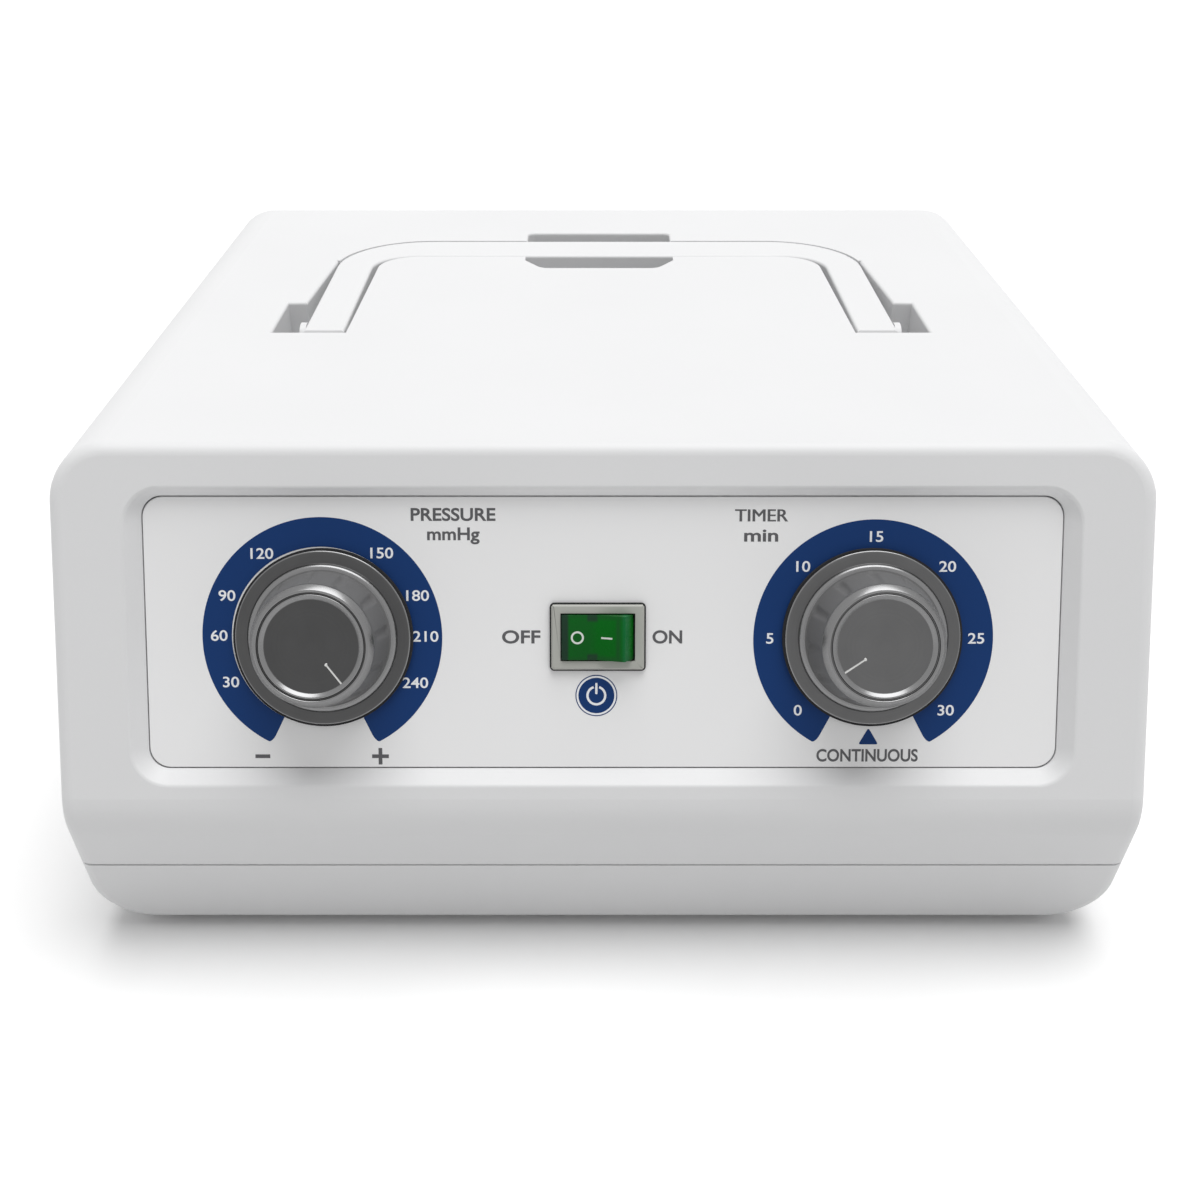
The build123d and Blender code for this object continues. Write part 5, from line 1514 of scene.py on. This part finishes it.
    def marks(self, pivot: Matrix) -> None:
        """Prints the ring on the rocker's lowered half and the dash on its raised half.

        Args:
            pivot: axes at the rocker's pivot: x across, y up the face, z out of it.
        """
        white = ink("mark_white", (0.74, 0.78, 0.74), 0.35).make()
        flat = pivot @ Matrix.Translation((self.ring_x, 0, self.rocker_top + self.ring_lift))
        inner = self.ring_radius - self.ring_stroke
        ring = self.printer.annulus("rocker_off_ring", inner, self.ring_radius, flat)
        finish_piece(ring, white, "rocker", "rocker_green")
        slope = Matrix.Rotation(-math.radians(self.raised_slope), 4, "Y")
        raised = pivot @ Matrix.Translation((0, 0, self.rocker_top)) @ slope
        raised = raised @ Matrix.Translation((self.dash_x, 0, self.dash_lift))
        dash = self.printer.plate("rocker_on_dash", self.dash_size, self.dash_corner, raised)
        finish_piece(dash, white, "rocker", "rocker_green")

    def film_centre(self) -> Vector:
        """The bezel's centre on the film."""
        low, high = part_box("switch_body")
        return FACE.point((low.x + high.x) / 2, self.bezel_drop)

    @staticmethod
    def soften(piece: Piece, radius: float) -> None:
        """Rounds a copied node's sharp edges.

        Args:
            piece: the copy.
            radius: how far each edge is cut back.
        """
        settings = {"width": radius, "segments": 3, "limit_method": "ANGLE", "harden_normals": False}
        Bench.apply(piece, "BEVEL", angle_limit=math.radians(40), **settings)
        Bench.smooth(piece, 35)


# ---------------------------------------------------------------- finishes of the frame's own pieces
class NodeFinishes:
    """Dresses every piece that the frame brings ready made."""

    def __init__(self) -> None:
        """Names one finish for each group of nodes."""
        white = (0.800, 0.802, 0.808)
        self.groups: list[tuple[Finish, str]] = [
            (plastic("shell_white", white), "upper_housing lower_housing"),
            (plastic("handle_white", shade(white, 1.005), 0.42), "carry_handle handle_pins"),
            (plastic("panel_white", shade(white, 0.98)), "control_panel"),
            (film("film_pale", (0.945, 0.945, 0.948)), "panel_overlay"),
            (plastic("rear_grey", (0.60, 0.61, 0.62)), "rear_panel filter_cover"),
            (plastic("inlet_black", (0.018, 0.018, 0.02), 0.38, drift=0.15), "mains_inlet fuse_drawer"),
            (plastic("inner_black", (0.03, 0.03, 0.032), 0.45, drift=0.2), "timer_body board_relay"),
            (plastic("sleeve_black", (0.02, 0.021, 0.03), 0.3, drift=0.2), "board_capacitors"),
            (
                plastic("nylon_natural", (0.78, 0.77, 0.73), 0.5),
                "outlet_socket_left outlet_socket_right air_manifold "
                "distributor_body distributor_cover filter_box",
            ),
            (plastic("rotor_filled", (0.12, 0.15, 0.2), 0.5), "distributor_rotor"),
            (plastic("terminal_blue", (0.02, 0.14, 0.22), 0.35), "board_terminals"),
            (rubber("foot_black", (0.022, 0.022, 0.024)), "rubber_feet pump_mounts pump_diaphragms"),
            (
                rubber("tube_pale", (0.62, 0.64, 0.64), 0.5),
                "chamber_tubes intake_tube cross_tube supply_tube regulated_tube",
            ),
            (
                plated("zinc_screw", (0.62, 0.63, 0.65), 0.32),
                "housing_screws rear_panel_screws inlet_screws pump_screws board_screws",
            ),
            (plated("nickel_contact", (0.68, 0.66, 0.58), 0.28), "inlet_contacts switch_tabs bush_nuts"),
            (plated("brass_spindle", (0.70, 0.55, 0.28), 0.3), "regulator_spindle timer_spindle"),
            (plated("alloy_turned", (0.62, 0.63, 0.64), 0.36), "regulator_body"),
            (plated("zinc_can", (0.56, 0.57, 0.58), 0.34), "distributor_motor pump_magnets"),
            (cast("cast_grey", (0.46, 0.47, 0.48)), "pump_frame pump_head_left pump_head_right"),
            (
                StackedMetal("iron_sheets", (0.30, 0.30, 0.31), Stack.ALONG_Z, 0.7 * MM),
                "pump_cores pump_armature board_transformer",
            ),
            (StackedMetal("copper_wire", (0.55, 0.2, 0.08), Stack.ALONG_X, 0.5 * MM, 0.3, 0.6), "pump_coils"),
            (VarnishedBoard("board_varnish", (0.012, 0.10, 0.04)), "control_board"),
            (OpenFoam("foam_dark", (0.06, 0.06, 0.065)), "filter_foam"),
            (ClearGlass("fuse_clear"), "fuse"),
        ]

    def build(self) -> None:
        """Puts each finish on its nodes."""
        for finish, names in self.groups:
            material = finish.make()
            for name in names.split():
                node = frame["nodes"][name]
                node.data.materials.clear()
                node.data.materials.append(material)
            log.info("finish %s: %s", finish.name, names)


# ---------------------------------------------------------------- studio
@dataclass
class Studio:
    """White floor and background, even sky light, one broad overhead lamp and the camera.

    The floor as it is seen is a little brighter than white, so that it stays pure white outside the shadow.
    """

    ambient: float = 0.42
    lamp_strength: float = 2.2
    lamp_breadth: float = 50.0
    lamp_lean: Pair = (-4.0, 7.0)
    floor_size: float = 8.0
    floor_bounce: float = 0.72
    floor_seen: float = 1.04
    camera_place: tuple[float, float, float] = (-0.0030, -0.371164, 0.23964)
    camera_tilt: float = 60.66
    lens: float = 43.5
    sensor: float = 36.0
    shift_x: float = 0.0091

    def build(self) -> None:
        """Makes the world, the floor, the lamp and the camera."""
        self.world()
        self.floor()
        self.lamp()
        self.camera()
        bpy.context.scene.view_settings.view_transform = "Standard"

    def world(self) -> None:
        """Even white sky: plain white to the eye and in reflections, softer as a light."""
        world = bpy.data.worlds.new("studio_sky")
        bpy.context.scene.world = world
        world.use_nodes = True
        world.cycles.sampling_method = "NONE"
        tree = NodeTree(world.node_tree)
        strength = self.ambient + tree.light_path() * (1 - self.ambient)
        sky = tree.node("ShaderNodeBackground", inputs={"Color": (1.0, 1.0, 1.0), "Strength": strength})
        tree.node("ShaderNodeOutputWorld", inputs={"Surface": sky.outputs[0]})

    def floor(self) -> None:
        """White floor that keeps the object's shadow."""
        floor = Bench.leave(Bench.start(Start.PLANE, "studio_floor", size=self.floor_size))
        material = bpy.data.materials.new("floor_paper")
        material.use_nodes = True
        tree = NodeTree(material.node_tree)
        seen = tree.light_path()
        tones = (self.floor_bounce, self.floor_seen)
        bounce, shown = (tree.node("ShaderNodeBsdfDiffuse", inputs={"Color": (tone,) * 3}) for tone in tones)
        mixed = tree.node("ShaderNodeMixShader", inputs={0: seen, 1: bounce.outputs[0], 2: shown.outputs[0]})
        tree.node("ShaderNodeOutputMaterial", inputs={"Surface": mixed.outputs[0]})
        floor.data.materials.append(material)

    def lamp(self) -> None:
        """Broad overhead light that comes a little from behind and from the right."""
        forward, right = self.lamp_lean
        turn = (math.radians(forward), math.radians(right), 0)
        bpy.ops.object.light_add(type="SUN", location=(0, 0, 1), rotation=turn)
        lamp = bpy.context.active_object
        lamp.name = "overhead_light"
        lamp.data.energy = self.lamp_strength
        lamp.data.angle = math.radians(self.lamp_breadth)

    def camera(self) -> None:
        """Camera in front of and above the object."""
        data = bpy.data.cameras.new("front_camera")
        data.lens, data.sensor_width, data.sensor_fit = self.lens, self.sensor, "HORIZONTAL"
        data.shift_x = self.shift_x
        data.clip_start = 0.01
        camera = bpy.data.objects.new("front_camera", data)
        bpy.context.scene.collection.objects.link(camera)
        camera.location = self.camera_place
        camera.rotation_euler = (math.radians(self.camera_tilt), 0, 0)
        bpy.context.scene.camera = camera


def main() -> None:
    """Builds the pump's looks and the studio, in order."""
    logging.basicConfig(level=logging.INFO, format="%(name)s: %(message)s")
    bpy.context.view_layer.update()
    Studio().build()
    NodeFinishes().build()
    printer = Printer()
    PanelPrint(printer).build()
    DialKnob("pressure", 142.0).build()
    # The timer knob's metal gets lighter tones than the pressure knob's: painted light, for the stronger
    # light that falls on it.
    DialKnob("timer", -124.0, face_tone=0.12, skirt_tone=0.11).build()
    RockerSwitch(printer).build()


if __name__ == "__main__":
    main()
